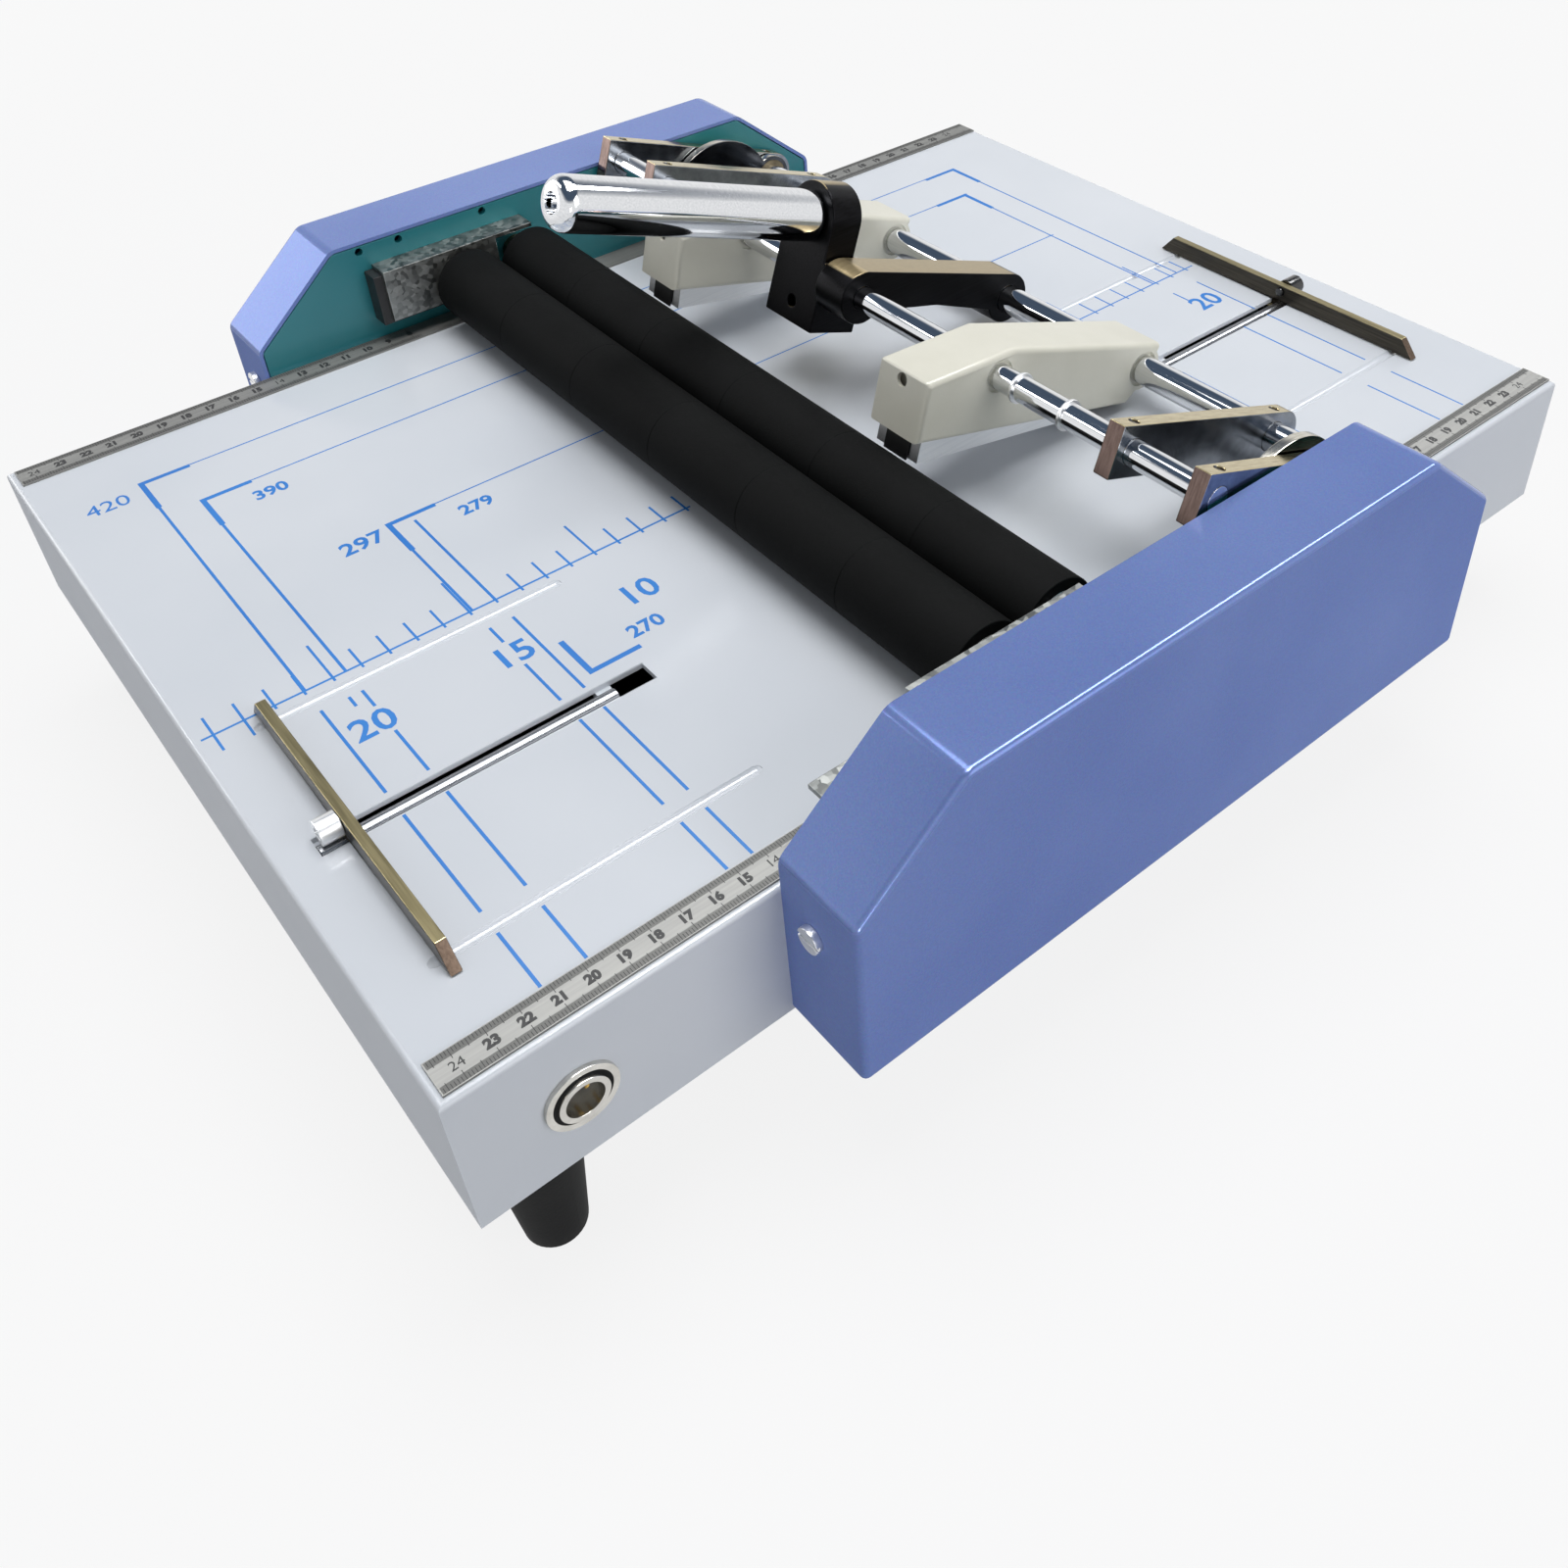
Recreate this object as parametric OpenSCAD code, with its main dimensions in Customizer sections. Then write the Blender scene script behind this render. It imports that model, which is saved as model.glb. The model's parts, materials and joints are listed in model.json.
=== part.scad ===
// Booklet maker: a table with fold rollers, a fold knife, a hand press with two staplers, and two fences.
// Millimetres, +Z up, floor at z = 0, origin under the middle of the table.
// Paper runs along X, the operator's end is at -X, and the far side is at +Y.

/* [Table] */
// Length of the table along the paper path
table_len = 505; // [495:1:540]
// Width of the table across the paper path
table_wid = 367; // [360:1:390]
// Height of the folded walls, deck included
skirt_h = 57; // [57:1:70]
// Thickness of the folded sheet
sheet_t = 2; // [1.6:0.1:2.2]
// Height of the rubber feet
foot_h = 52; // [40:1:60]
// Diameter of a foot at its top
foot_top_d = 30; // [26:1:34]
// Diameter of a foot at the floor
foot_bottom_d = 20; // [14:1:24]
// Distance from a foot's middle to the table end
foot_end = 25; // [21:1:40]
// Distance from a foot's middle to the table side
foot_side = 19.5; // [19.5:0.5:30]

/* [Hoods] */
// Length of a hood along the table
hood_len = 293; // [288:1:305]
// Length of a hood's flat top
hood_top_len = 212; // [200:1:230]
// Width of a hood beyond the table wall
hood_wid = 34.5; // [34:0.5:44]
// Height of a hood's top above the deck
hood_rise = 45.5; // [43:0.5:52]
// Height above the deck where a hood's slope starts
hood_shoulder = 12; // [6:1:18]
// Thickness of the hood sheet
hood_t = 1.6; // [1.2:0.1:2.2]
// Radius of the edge round a hood's outer face
hood_edge_r = 3; // [2:0.5:5]
// Thickness of a side plate
plate_t = 3; // [2.5:0.1:4]
// Gap between a side plate and its hood
plate_gap = 0.4; // [0.3:0.1:0.6]
// Distance from the table wall out to a hood screw
hood_screw_out = 14.5; // [12:0.5:17]
// Drop of a hood screw below the deck
hood_screw_drop = 8; // [4:1:14]
// Diameter of a hood screw's head
hood_screw_head = 9; // [7:0.5:11]

/* [Rollers] */
// Diameter over the roller rubber
roller_d = 31.2; // [30.6:0.1:31.8]
// Gap between the two rollers at the nip
nip_gap = 0.3; // [0.3:0.1:0.6]
// Place of the nip along the table
nip_x = -38; // [-42:1:-36]
// Gap between the rollers and the deck
roller_lift = 2.8; // [2.4:0.1:4]
// Diameter of the steel roller cores
roller_core = 22; // [18:0.5:25]
// Diameter of the roller journals
journal_d = 10; // [8:0.5:10]
// Teeth on each of the two meshing roller gears
roller_teeth = 21; // [21:2:23]
// Teeth on the large drive gear
drive_teeth = 28; // [26:1:28]
// Teeth on the motor pinion
pinion_teeth = 20; // [18:1:20]
// Length of a roller bracket along the table
bracket_len = 72; // [66:1:80]
// Reach of a roller bracket from the side plate
bracket_depth = 11.5; // [11:0.5:14]
// Height of a roller bracket's top above the deck
bracket_rise = 34; // [32:0.5:38]

/* [Press] */
// Place of the rear pivot rod along the table
rear_rod_x = 114.5; // [113.5:0.5:117]
// Height of the rear pivot rod above the deck
rear_rod_lift = 16; // [16:0.5:18]
// Diameter of the rear pivot rod
rear_rod_d = 12; // [10:0.5:12]
// Distance between the two press rods
rod_span = 84.8; // [83:0.2:86]
// Diameter of the front press rod
front_rod_d = 10; // [8:0.5:11]
// Tilt of the press at rest
press_tilt = 20.36; // [20.2:0.02:22]
// Height of a press arm
arm_h = 20; // [18:0.5:22]
// Thickness of a press arm
arm_t = 7; // [6:0.5:7]
// Overhang of a press arm in front of the front rod
arm_front = 9; // [8:0.5:14]
// Overhang of a press arm behind the rear rod
arm_rear = 15; // [12:0.5:15]
// Distance from the side plate to an inner arm's middle
inner_arm_in = 42; // [38:1:46]
// Distance from the side plate to an outer arm's middle
outer_arm_in = 5; // [5:0.5:6]
// Radius of a pivot cheek's round top
cheek_r = 30; // [28:0.5:31]
// Distance of the round top's middle in front of the rear rod
cheek_back = 31; // [29:0.5:32]
// Thickness of a pivot cheek
cheek_t = 4; // [3.5:0.5:5]
// Outer diameter of a rod lock ring
ring_d = 12; // [11.5:0.5:16]

/* [Lever] */
// Place of the lever block's middle across the table
block_y = 31; // [28:1:36]
// Width of the lever block
block_wid = 30; // [27:1:32]
// Width of the lever arm beside the block
lever_wid = 17; // [14:1:18]
// Distance of the grip's middle above the press rods
grip_rise = 22.8; // [22:0.2:26]
// Diameter of the grip tube
grip_d = 20.6; // [18:0.1:22]
// Length of the grip tube
grip_len = 118; // [100:1:130]

/* [Staplers] */
// Place of the near stapler across the table
near_stapler_y = -66; // [-70:1:-62]
// Place of the far stapler across the table
far_stapler_y = 88; // [82:1:92]
// Width of a stapler casing
stapler_wid = 27; // [25:0.5:29]
// Wall of a stapler casing
stapler_wall = 1.8; // [1.4:0.1:2]
// Reach of a stapler casing in front of the rear rod
stapler_reach = 120.4; // [119:0.2:120.6]
// Width of a magazine rail
rail_wid = 22.6; // [19:0.2:22.6]
// Angle of a magazine below its closed place at rest
magazine_open = 4; // [3.6:0.1:4.2]

/* [Fences] */
// Distance of the front fence bar from the table's front edge
front_fence_in = 23; // [21:0.5:36]
// Place of the front guide slot across the table
front_slot_y = -82; // [-90:1:-76]
// Length of the front fence bar
front_fence_len = 136; // [134:1:150]
// Height of the front fence bar
front_fence_h = 8; // [7.5:0.5:11]
// Distance of the rear fence bar from the table's rear edge
rear_fence_in = 28.5; // [22:0.5:36]
// Place of the rear guide slot across the table
rear_slot_y = -64.5; // [-70:0.5:-60]
// Length of the rear fence bar
rear_fence_len = 140; // [134:1:150]
// Height of the rear fence bar
rear_fence_h = 7.5; // [7.5:0.5:11]
// Travel of the front fence along its slot
front_travel = 82; // [60:1:84]
// Travel of the rear fence along its slot
rear_travel = 69; // [50:1:72]
// Width of a fence bar
fence_t = 3.6; // [3.4:0.2:6]
// Width of a guide slot
slot_wid = 8.6; // [8:0.1:10]
// Diameter of a guide rod
guide_rod_d = 6; // [5:0.5:6.5]

/* [Rulers and sockets] */
// Width of a steel ruler
ruler_wid = 12; // [10:0.5:12.5]
// Thickness of a steel ruler
ruler_t = 0.8; // [0.6:0.1:1.2]
// Distance of a ruler from the table edge
ruler_in = 2.4; // [2:0.1:4]
// Distance of the pedal socket from the table's front edge
socket_in = 35.9; // [27.5:0.2:47.5]
// Drop of the pedal socket below the deck
socket_drop = 29.6; // [26:0.2:33]
// Diameter of the pedal socket's flange
socket_d = 23; // [21:0.5:26]
// Distance of the mains inlet from the table's rear edge
inlet_in = 52.5; // [44.5:1:62.5]
// Drop of the mains inlet below the deck
inlet_drop = 29; // [27:0.5:31]

/* [Hidden] */
$fn = 48;

fit = 0.05;
slide_gap = 0.3;
bite = 1;
big = 400;
table_x = table_len / 2;
table_y = table_wid / 2;
deck_z = foot_h + skirt_h;
under_z = deck_z - sheet_t;
base_t = 2;
base_z = foot_h + base_t;
plate_y = table_y + plate_t;
foot_spots = [for (sx = [-1, 1], sy = [-1, 1]) [sx * (table_x - foot_end), sy * (table_y - foot_side)]];
foot_screw_d = 5;

hood_slope = atan2(hood_rise - hood_shoulder, (hood_len - hood_top_len) / 2);
plate_in = hood_t + plate_gap;
plate_holes = [-93.7, -75.4, -35];
plate_hole_d = 3.5;
ear_t = 2;
ear_h = 16;
ear_x = hood_len / 2 - plate_in - ear_t / 2;
hood_screw_z = deck_z - hood_screw_drop;
hood_screw_shank = 4;
hood_screw_cap = 2.4;

roller_pitch = roller_d + nip_gap;
roller_z = deck_z + roller_lift + roller_d / 2;
front_roller_x = nip_x - roller_pitch / 2;
rear_roller_x = nip_x + roller_pitch / 2;
bracket_y = table_y - bracket_depth;
bracket_t = 2;
bracket_low = 10.5;
roller_end = bracket_y - 4;
bush_wall = 1.6;
bush_d = journal_d + 2 * fit + 2 * bush_wall;
front_bush_y = bracket_y + 6;
gear_mod = roller_pitch / roller_teeth;
gear_y = plate_y + 2;
gear_wid = 8;
drive_y = gear_y + gear_wid + 1.5;
drive_angle = -60;
drive_dist = gear_mod * (drive_teeth + pinion_teeth) / 2;
pinion_x = rear_roller_x + drive_dist * cos(drive_angle);
pinion_z = roller_z + drive_dist * sin(drive_angle);
motor_shaft_d = 8;
motor_shift = 8.5;
gearbox_d = 34;
gearbox_len = 28;
motor_d = 32;
motor_len = 52;
gear_backlash = 0.32;
gear_top = 0.85;
gear_root = 1.25;
gear_press = 20;

knife_t = 1.6;
knife_half = 158;
knife_slot_wid = 5;
knife_rest = 3;
knife_travel = 15.5;
knife_low = 27;
knife_face = nip_x + knife_t / 2;
carrier_half = 150;
carrier_wid = 8;
carrier_top = 18.5;
rack_y = 80;
rack_wid = 10;
rack_mod = 1.5;
rack_low = 53.5;
knife_teeth = 16;
rack_x = nip_x - 7;
knife_shaft_x = rack_x - rack_mod * knife_teeth / 2;
knife_shaft_z = deck_z - 32;
knife_shaft_d = 8;
post_y = 40;
post_d = 8;
post_lug = 15;
post_x = knife_face + carrier_wid + post_lug / 2 - 1;
shaft_block_y = 94;
shaft_block_t = 8;
knife_motor_y = -shaft_block_y - shaft_block_t / 2;

rear_rod_z = deck_z + rear_rod_lift;
inner_arm_y = table_y - inner_arm_in;
outer_arm_y = table_y - outer_arm_in;
cheek_y = outer_arm_y - arm_t / 2 - 0.8 - cheek_t;
cheek_lug_r = 10;
cheek_centre = 12;
rod_collar_y = plate_y + 16;
rod_collar_t = 6;
rod_end = rod_collar_y + rod_collar_t;
front_rod_end = outer_arm_y + arm_t / 2;
arm_screw_d = 4;
ring_t = 1.2;
ring_groove = 0.6;
ring_spots = [near_stapler_y - stapler_wid / 2 - 11, near_stapler_y - stapler_wid / 2 - 35,
  far_stapler_y + stapler_wid / 2 + 11, far_stapler_y + stapler_wid / 2 + 22];

spring_r = 9.5;
spring_wire = 2;
spring_turns = 5;
spring_pitch = 2.5;
spring_y = plate_y + 1.4;
spring_leg = 26;
spring_pin_d = 4;

block_front = rod_span + 8.1;
block_rear = rod_span - 15.4;
block_low = -21.5;
lever_hub_r = 11;
ear_rear = rod_span - 7;
block_y0 = block_y - block_wid / 2;
grip_bolt_d = 6;
grip_thread = 30;
grip_end_r = 5;

case_back = 7;
case_top_v = 10.6;
case_break = 80;
case_front_v = -2;
case_belly = [-54.6, -20.2];
case_low_rear = [-2.4, -15.5];
case_low_front = [2.2 - stapler_reach, -25.7];
case_hub_r = rear_rod_d / 2 + 3.3;
rod_step = 1.2;
rod_step_gap = 1.5;
rail_drop = 0.6;
rail_h = 9;
rail_t = 1.2;
rail_front = stapler_reach - 5;
rail_rear = 30;
nose_wid = 12.6;
nose_len = 12;
nose_h = 13;
nose_lip = 0.9;
rail_ear_r = rear_rod_d / 2 + 1.2;
driver_t = 1;
driver_wid = 10;
driver_gap = 1.4;
driver_angle = -9;
driver_r = rail_front - 0.6;
shelf_x = -126;
shelf_z = 18;

socket_x = socket_in - table_x;
socket_barrel = socket_d - 7;
socket_pin_d = 1.6;
socket_well = 5;
socket_depth = 14;
front_fence_x = front_fence_in - table_x;
rear_fence_x = table_x - rear_fence_in;
fence_lift = 0.5;
fence_slope = 6.5;
groove_off = 60;
groove_r = 2.4;
groove_depth = 1.1;
groove_over = 3;
guide_pin_d = 2;
guide_pin_dip = 0.5;
guide_rod_drop = 0.6;
guide_rod_z = deck_z - guide_rod_drop - guide_rod_d / 2;
slider_len = 8;
lug_t = 5.5;
lug_gap = 0.5;
slot_spare = 13;
front_rod0 = front_fence_x - slider_len / 2 - lug_gap - lug_t;
front_rod1 = front_fence_x + front_travel + slider_len / 2 + lug_gap + lug_t;
rear_rod0 = rear_fence_x - rear_travel - slider_len / 2 - lug_gap - lug_t;
rear_rod1 = rear_fence_x + slider_len / 2 + lug_gap + lug_t;
front_slot0 = front_rod0 - slide_gap;
front_slot1 = front_rod1 + slot_spare;
rear_slot0 = rear_rod0 - slot_spare;
rear_slot1 = rear_rod1 + slide_gap;
slider_wid = 18;
slider_low = 12;
fence_screw_z = 5;
fence_shank_d = 4;

vent_count = 10;
vent_pitch = 12;
vent_wid = 6;
vent_len = 60;
vent_x = 10;
vent_in = 33.5;

inlet_wid = 47;
inlet_h = 27;
inlet_rim = 2.5;
inlet_depth = 24;
rocker_len = 19;
rocker_wid = 12;
rocker_tilt = 7;
inlet_x = table_x - inlet_in;
rocker_x = inlet_x + 14;
rocker_in = 6;
board_x = 120;
board_y = 40;
board_len = 110;
board_wid = 80;
board_lift = 8;

staple_x = rear_rod_x - stapler_reach + 3;

module along_y(y0, y1, d) {
  translate([0, y0, 0]) rotate([-90, 0, 0]) cylinder(d = d, h = y1 - y0);
}

module along_x(x0, x1, d) {
  translate([x0, 0, 0]) rotate([0, 90, 0]) cylinder(d = d, h = x1 - x0);
}

module side_prism(points, y0, y1) {
  translate([0, y1, 0]) rotate([90, 0, 0]) linear_extrude(y1 - y0) polygon(points);
}

module block(x0, x1, y0, y1, z0, z1) {
  translate([x0, y0, z0]) cube([x1 - x0, y1 - y0, z1 - z0]);
}

module both_sides() {
  children();
  mirror([0, 1, 0]) children();
}

module press() {
  translate([rear_rod_x, 0, rear_rod_z]) rotate([0, press_tilt, 0]) children();
}

// Slot through the deck sheet for the neck of a fence
module fence_slot(x0, x1, y) {
  block(x0, x1, y - slot_wid / 2, y + slot_wid / 2, under_z - bite, deck_z + bite);
}

// Shallow rounded grooves in the deck for the two end pins of that fence
module pin_grooves(x0, x1, y) {
  len = x1 - x0;
  end = 0.7 * groove_r;
  for (s = [-1, 1]) translate([x0, y + s * groove_off, deck_z + groove_r - groove_depth])
    rotate([0, 90, 0]) rotate_extrude() polygon([[0, -groove_r], [end, -end], [groove_r, 0], [groove_r, len],
      [end, len + end], [0, len + groove_r]]);
}

// Involute tooth: half angle of the tooth at radius r
function inv(a) = tan(a) * 180 / PI - a;
function tooth_half(teeth, m, r) = let (rp = m * teeth / 2, rb = rp * cos(gear_press))
  90 / teeth - gear_backlash / rp * 45 / PI + inv(gear_press) - (r > rb ? inv(acos(rb / r)) : 0);
function tooth_radii(teeth, m) = let (rp = m * teeth / 2, rb = rp * cos(gear_press),
  r0 = rp - gear_root * m, r1 = rp + gear_top * m, rs = max(rb, r0 + 0.1))
  [r0, rs, rs + (r1 - rs) * 0.3, rs + (r1 - rs) * 0.65, r1];
function polar(r, a) = r * [cos(a), sin(a)];
function tooth_points(teeth, m, turn) = let (rr = tooth_radii(teeth, m)) [
  for (i = [0 : teeth - 1]) let (mid = turn + i * 360 / teeth) each [
    for (k = [0 : 4]) polar(rr[k], mid - tooth_half(teeth, m, rr[k])),
    for (k = [4 : -1 : 0]) polar(rr[k], mid + tooth_half(teeth, m, rr[k]))]];

// Spur gear on the Y axis, tooth angles measured from +X towards +Z
module spur_gear(teeth, m, y0, y1, bore, turn) {
  difference() {
    side_prism(tooth_points(teeth, m, turn), y0, y1);
    along_y(y0 - bite, y1 + bite, bore);
  }
}

// Outline of a hood or side plate, drawn in by the given distance
function hood_outline(inset) = let (x1 = hood_len / 2 - inset,
    x2 = hood_top_len / 2 - inset * tan(hood_slope / 2),
    z0 = foot_h + inset,
    z1 = deck_z + hood_shoulder - inset * tan((90 - hood_slope) / 2),
    z2 = deck_z + hood_rise - inset)
  [[-x1, z0], [-x1, z1], [-x2, z2], [x2, z2], [x1, z1], [x1, z0]];

// Cut that folds one straight edge of an outline over in three flats at the outer face
module edge_strip(from, to) {
  run = to - from;
  r = hood_edge_r;
  translate([from[0], table_y + hood_wid, from[1]]) rotate([0, -atan2(run[1], run[0]), 0])
    translate([-r, 0, 0]) rotate([90, 0, 90]) linear_extrude(norm(run) + 2 * r)
      polygon(concat([for (a = [90 : -30 : 0]) polar(r, a) - [r, r]],
        [[bite, -r], [bite, bite], [-r, bite]]));
}

module table_chassis() {
  color([0.74, 0.77, 0.8]) {
    difference() {
      block(-table_x, table_x, -table_y, table_y, foot_h, deck_z);
      block(sheet_t - table_x, table_x - sheet_t, sheet_t - table_y, table_y - sheet_t,
        foot_h - bite, under_z);
      block(nip_x - knife_slot_wid / 2, nip_x + knife_slot_wid / 2, -knife_half - 3, knife_half + 3,
        under_z - bite, deck_z + bite);
      fence_slot(front_slot0, front_slot1, front_slot_y);
      fence_slot(rear_slot0, rear_slot1, rear_slot_y);
      pin_grooves(front_fence_x - groove_over, front_slot1, front_slot_y);
      pin_grooves(rear_slot0, rear_fence_x + groove_over, rear_slot_y);
      for (y = [near_stapler_y, far_stapler_y]) block(staple_x - 13, staple_x + 13, y - 11, y + 11,
        under_z - bite, deck_z + bite);
      at_socket() along_y(-table_y - bite, sheet_t - table_y + bite, socket_barrel);
      block(inlet_x - inlet_wid / 2, inlet_x + inlet_wid / 2, table_y - sheet_t - bite, table_y + bite,
        deck_z - inlet_drop - inlet_h / 2, deck_z - inlet_drop + inlet_h / 2);
      translate([pinion_x, 0, pinion_z])
        along_y(table_y - sheet_t - bite, table_y + bite, motor_shaft_d + 2);
    }
    for (x = [front_rod0, front_rod1 - lug_t]) guide_lug(x, front_slot_y);
    for (x = [rear_rod0, rear_rod1 - lug_t]) guide_lug(x, rear_slot_y);
  }
}

// Lug under the deck that carries one end of a guide rod in the slot
module guide_lug(x, y) {
  difference() {
    block(x, x + lug_t, y - guide_rod_d, y + guide_rod_d, guide_rod_z - guide_rod_d, under_z);
    translate([0, y, guide_rod_z]) along_x(x - bite, x + lug_t + bite, guide_rod_d);
  }
}

module base_plate() {
  color([0.55, 0.57, 0.6]) {
    difference() {
      block(sheet_t + slide_gap - table_x, table_x - sheet_t - slide_gap, sheet_t + slide_gap - table_y,
        table_y - sheet_t - slide_gap, foot_h, base_z);
      for (i = [0 : vent_count - 1]) block(vent_x + i * vent_pitch, vent_x + i * vent_pitch + vent_wid,
        vent_in - table_y, vent_in + vent_len - table_y, foot_h - bite, base_z + bite);
      for (p = foot_spots) translate([p[0], p[1], foot_h - bite])
        cylinder(d = foot_screw_d, h = base_t + 2 * bite);
    }
    for (sx = [-1, 1], sy = [-1, 1])
      translate([board_x + sx * (board_len / 2 - 6), board_y + sy * (board_wid / 2 - 6), base_z])
        cylinder(d = 7, h = board_lift);
  }
}

module rubber_feet() {
  color([0.08, 0.08, 0.09]) for (p = foot_spots) translate([p[0], p[1], 0]) difference() {
    cylinder(d1 = foot_bottom_d, d2 = foot_top_d, h = foot_h);
    translate([0, 0, -bite]) cylinder(d = foot_bottom_d / 2, h = 8 + bite);
    translate([0, 0, foot_h - 20]) cylinder(d = foot_screw_d, h = 20 + bite);
  }
}

module side_plate(far) {
  difference() {
    side_prism(hood_outline(plate_in), table_y, plate_y);
    translate([rear_roller_x, 0, roller_z]) along_y(table_y - bite, plate_y + bite, bush_d);
    translate([front_roller_x, 0, roller_z]) along_y(table_y - bite, plate_y + bite, journal_d + 4);
    translate([rear_rod_x, 0, rear_rod_z]) along_y(table_y - bite, plate_y + bite, rear_rod_d + 2);
    if (far) translate([pinion_x, 0, pinion_z]) along_y(table_y - bite, plate_y + bite, motor_shaft_d + 2);
    for (x = plate_holes) translate([x, 0, deck_z + hood_rise - 4.5])
      along_y(table_y - bite, plate_y + bite, plate_hole_d);
  }
  for (s = [-1, 1]) difference() {
    translate([s * ear_x - ear_t / 2, plate_y - bite / 2, hood_screw_z - ear_h / 2])
      cube([ear_t, hood_screw_out + ear_h / 2 - plate_t, ear_h]);
    translate([s * hood_len / 2, table_y + hood_screw_out, hood_screw_z]) along_x(-10, 10, hood_screw_shank);
  }
  spring_pin();
}

// Stop pin for the fixed leg of a return spring
module spring_pin() {
  translate([rear_rod_x - spring_leg + 4, 0, rear_rod_z + spring_r + (spring_wire + spring_pin_d) / 2 + fit])
    along_y(plate_y - bite, spring_y + 4, spring_pin_d);
}

module near_side_plate() {
  color([0.13, 0.42, 0.46]) mirror([0, 1, 0]) side_plate(false);
}

module far_side_plate() {
  color([0.13, 0.42, 0.46]) side_plate(true);
}

module hood() {
  outer = hood_outline(0);
  difference() {
    side_prism(outer, table_y, table_y + hood_wid);
    side_prism(hood_outline(hood_t), table_y - bite, table_y + hood_wid - hood_t);
    for (i = [0 : 5]) edge_strip(outer[i], outer[(i + 1) % 6]);
    for (s = [-1, 1]) translate([s * hood_len / 2, table_y + hood_screw_out, hood_screw_z])
      along_x(-10, 10, hood_screw_shank + 0.4);
  }
}

module near_hood() {
  color([0.4, 0.46, 0.7]) mirror([0, 1, 0]) hood();
}

module far_hood() {
  color([0.4, 0.46, 0.7]) hood();
}

module hood_screws() {
  color([0.85, 0.85, 0.86]) both_sides() for (s = [0, 1]) mirror([s, 0, 0])
    translate([-hood_len / 2, table_y + hood_screw_out, hood_screw_z]) difference() {
      union() {
        along_x(-hood_screw_cap, 0, hood_screw_head);
        along_x(-hood_screw_cap / 2, 8, hood_screw_shank);
      }
      block(-hood_screw_cap - bite, 1 - hood_screw_cap, -hood_screw_head, hood_screw_head, -0.6, 0.6);
    }
}

module roller_bracket() {
  difference() {
    union() {
      block(front_roller_x - bracket_len / 2, front_roller_x + bracket_len / 2, bracket_y, table_y,
        deck_z + bracket_rise - bracket_t, deck_z + bracket_rise);
      block(front_roller_x - bracket_len / 2, nip_x + 2, bracket_y, bracket_y + bracket_t,
        deck_z + bracket_low, deck_z + bracket_rise - bracket_t / 2);
    }
    translate([front_roller_x, 0, roller_z]) along_y(bracket_y - bite, bracket_y + bracket_t + bite, bush_d);
  }
}

module roller_brackets() {
  color([0.72, 0.72, 0.66]) {
    both_sides() roller_bracket();
    mirror([0, 1, 0]) block(shelf_x, front_roller_x - bracket_len / 2 - 4, bracket_y - 1, table_y,
      deck_z + shelf_z - bracket_t, deck_z + shelf_z);
  }
}

module guide_blocks() {
  color([0.07, 0.07, 0.08]) both_sides()
    block(front_roller_x - bracket_len / 2 - 4, front_roller_x - bush_d / 2 - 3,
      bracket_y + bracket_t, table_y, deck_z + 9, deck_z + bracket_rise - bracket_t);
}

module bush(y0, y1) {
  difference() {
    along_y(y0, y1, bush_d);
    along_y(y0 - bite, y1 + bite, journal_d + 2 * fit);
  }
}

module roller_bushes() {
  color([0.75, 0.6, 0.3]) both_sides() {
    translate([front_roller_x, 0, roller_z]) bush(bracket_y - 1, front_bush_y);
    translate([rear_roller_x, 0, roller_z]) bush(table_y - 4, plate_y + 1);
  }
}

module ruler(y0) {
  block(2.8 - table_x, rear_rod_x - cheek_back - cheek_r - 2, y0, y0 + ruler_wid, deck_z, deck_z + ruler_t);
  block(rear_rod_x + cheek_lug_r + 2, table_x - 1.5, y0, y0 + ruler_wid, deck_z, deck_z + ruler_t);
}

module rulers() {
  color([0.6, 0.61, 0.62]) {
    ruler(ruler_in - table_y);
    ruler(table_y - ruler_in - ruler_wid);
  }
}

module staple_anvils() {
  color([0.7, 0.7, 0.72]) for (y = [near_stapler_y, far_stapler_y]) difference() {
    union() {
      block(staple_x - 13, staple_x + 13, y - 11, y + 11, under_z - 0.01, deck_z);
      block(staple_x - 17, staple_x + 17, y - 15, y + 15, under_z - 2, under_z);
    }
    for (s = [-1, 1]) translate([staple_x, y + s * 3.6, deck_z + 0.4]) along_y(-2.6, 2.6, 2.2);
  }
}

module at_socket() {
  translate([socket_x, 0, deck_z - socket_drop]) children();
}

module at_pins() {
  for (a = [90, 210, 330]) translate([3.2 * cos(a), 0, 3.2 * sin(a)]) children();
}

module socket_gasket() {
  color([0.05, 0.05, 0.05]) at_socket() difference() {
    along_y(-table_y - 1.4, -table_y - 0.4, socket_d - 4.4);
    along_y(-table_y - 2.5, 1 - table_y, socket_barrel);
  }
}

module socket_shell() {
  color([0.82, 0.82, 0.83]) at_socket() difference() {
    union() {
      along_y(-table_y - 1.6, -table_y, socket_d);
      along_y(-table_y - 2.6, socket_depth - table_y, socket_barrel);
      translate([0, sheet_t - table_y, 0]) rotate([-90, 0, 0]) cylinder(d = socket_d + 1, h = 4, $fn = 6);
    }
    difference() {
      along_y(-table_y - 2, -table_y - 0.4, socket_d - 4.4);
      along_y(-table_y - 3, bite - table_y, socket_barrel);
    }
    along_y(-table_y - 10, socket_depth + bite - table_y, socket_barrel - 4);
  }
}

module socket_insert() {
  color([0.1, 0.1, 0.1]) at_socket() difference() {
    along_y(socket_well - table_y, socket_depth - table_y, socket_barrel - 4);
    at_pins() along_y(-table_y, socket_depth + bite - table_y, socket_pin_d);
  }
}

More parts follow.
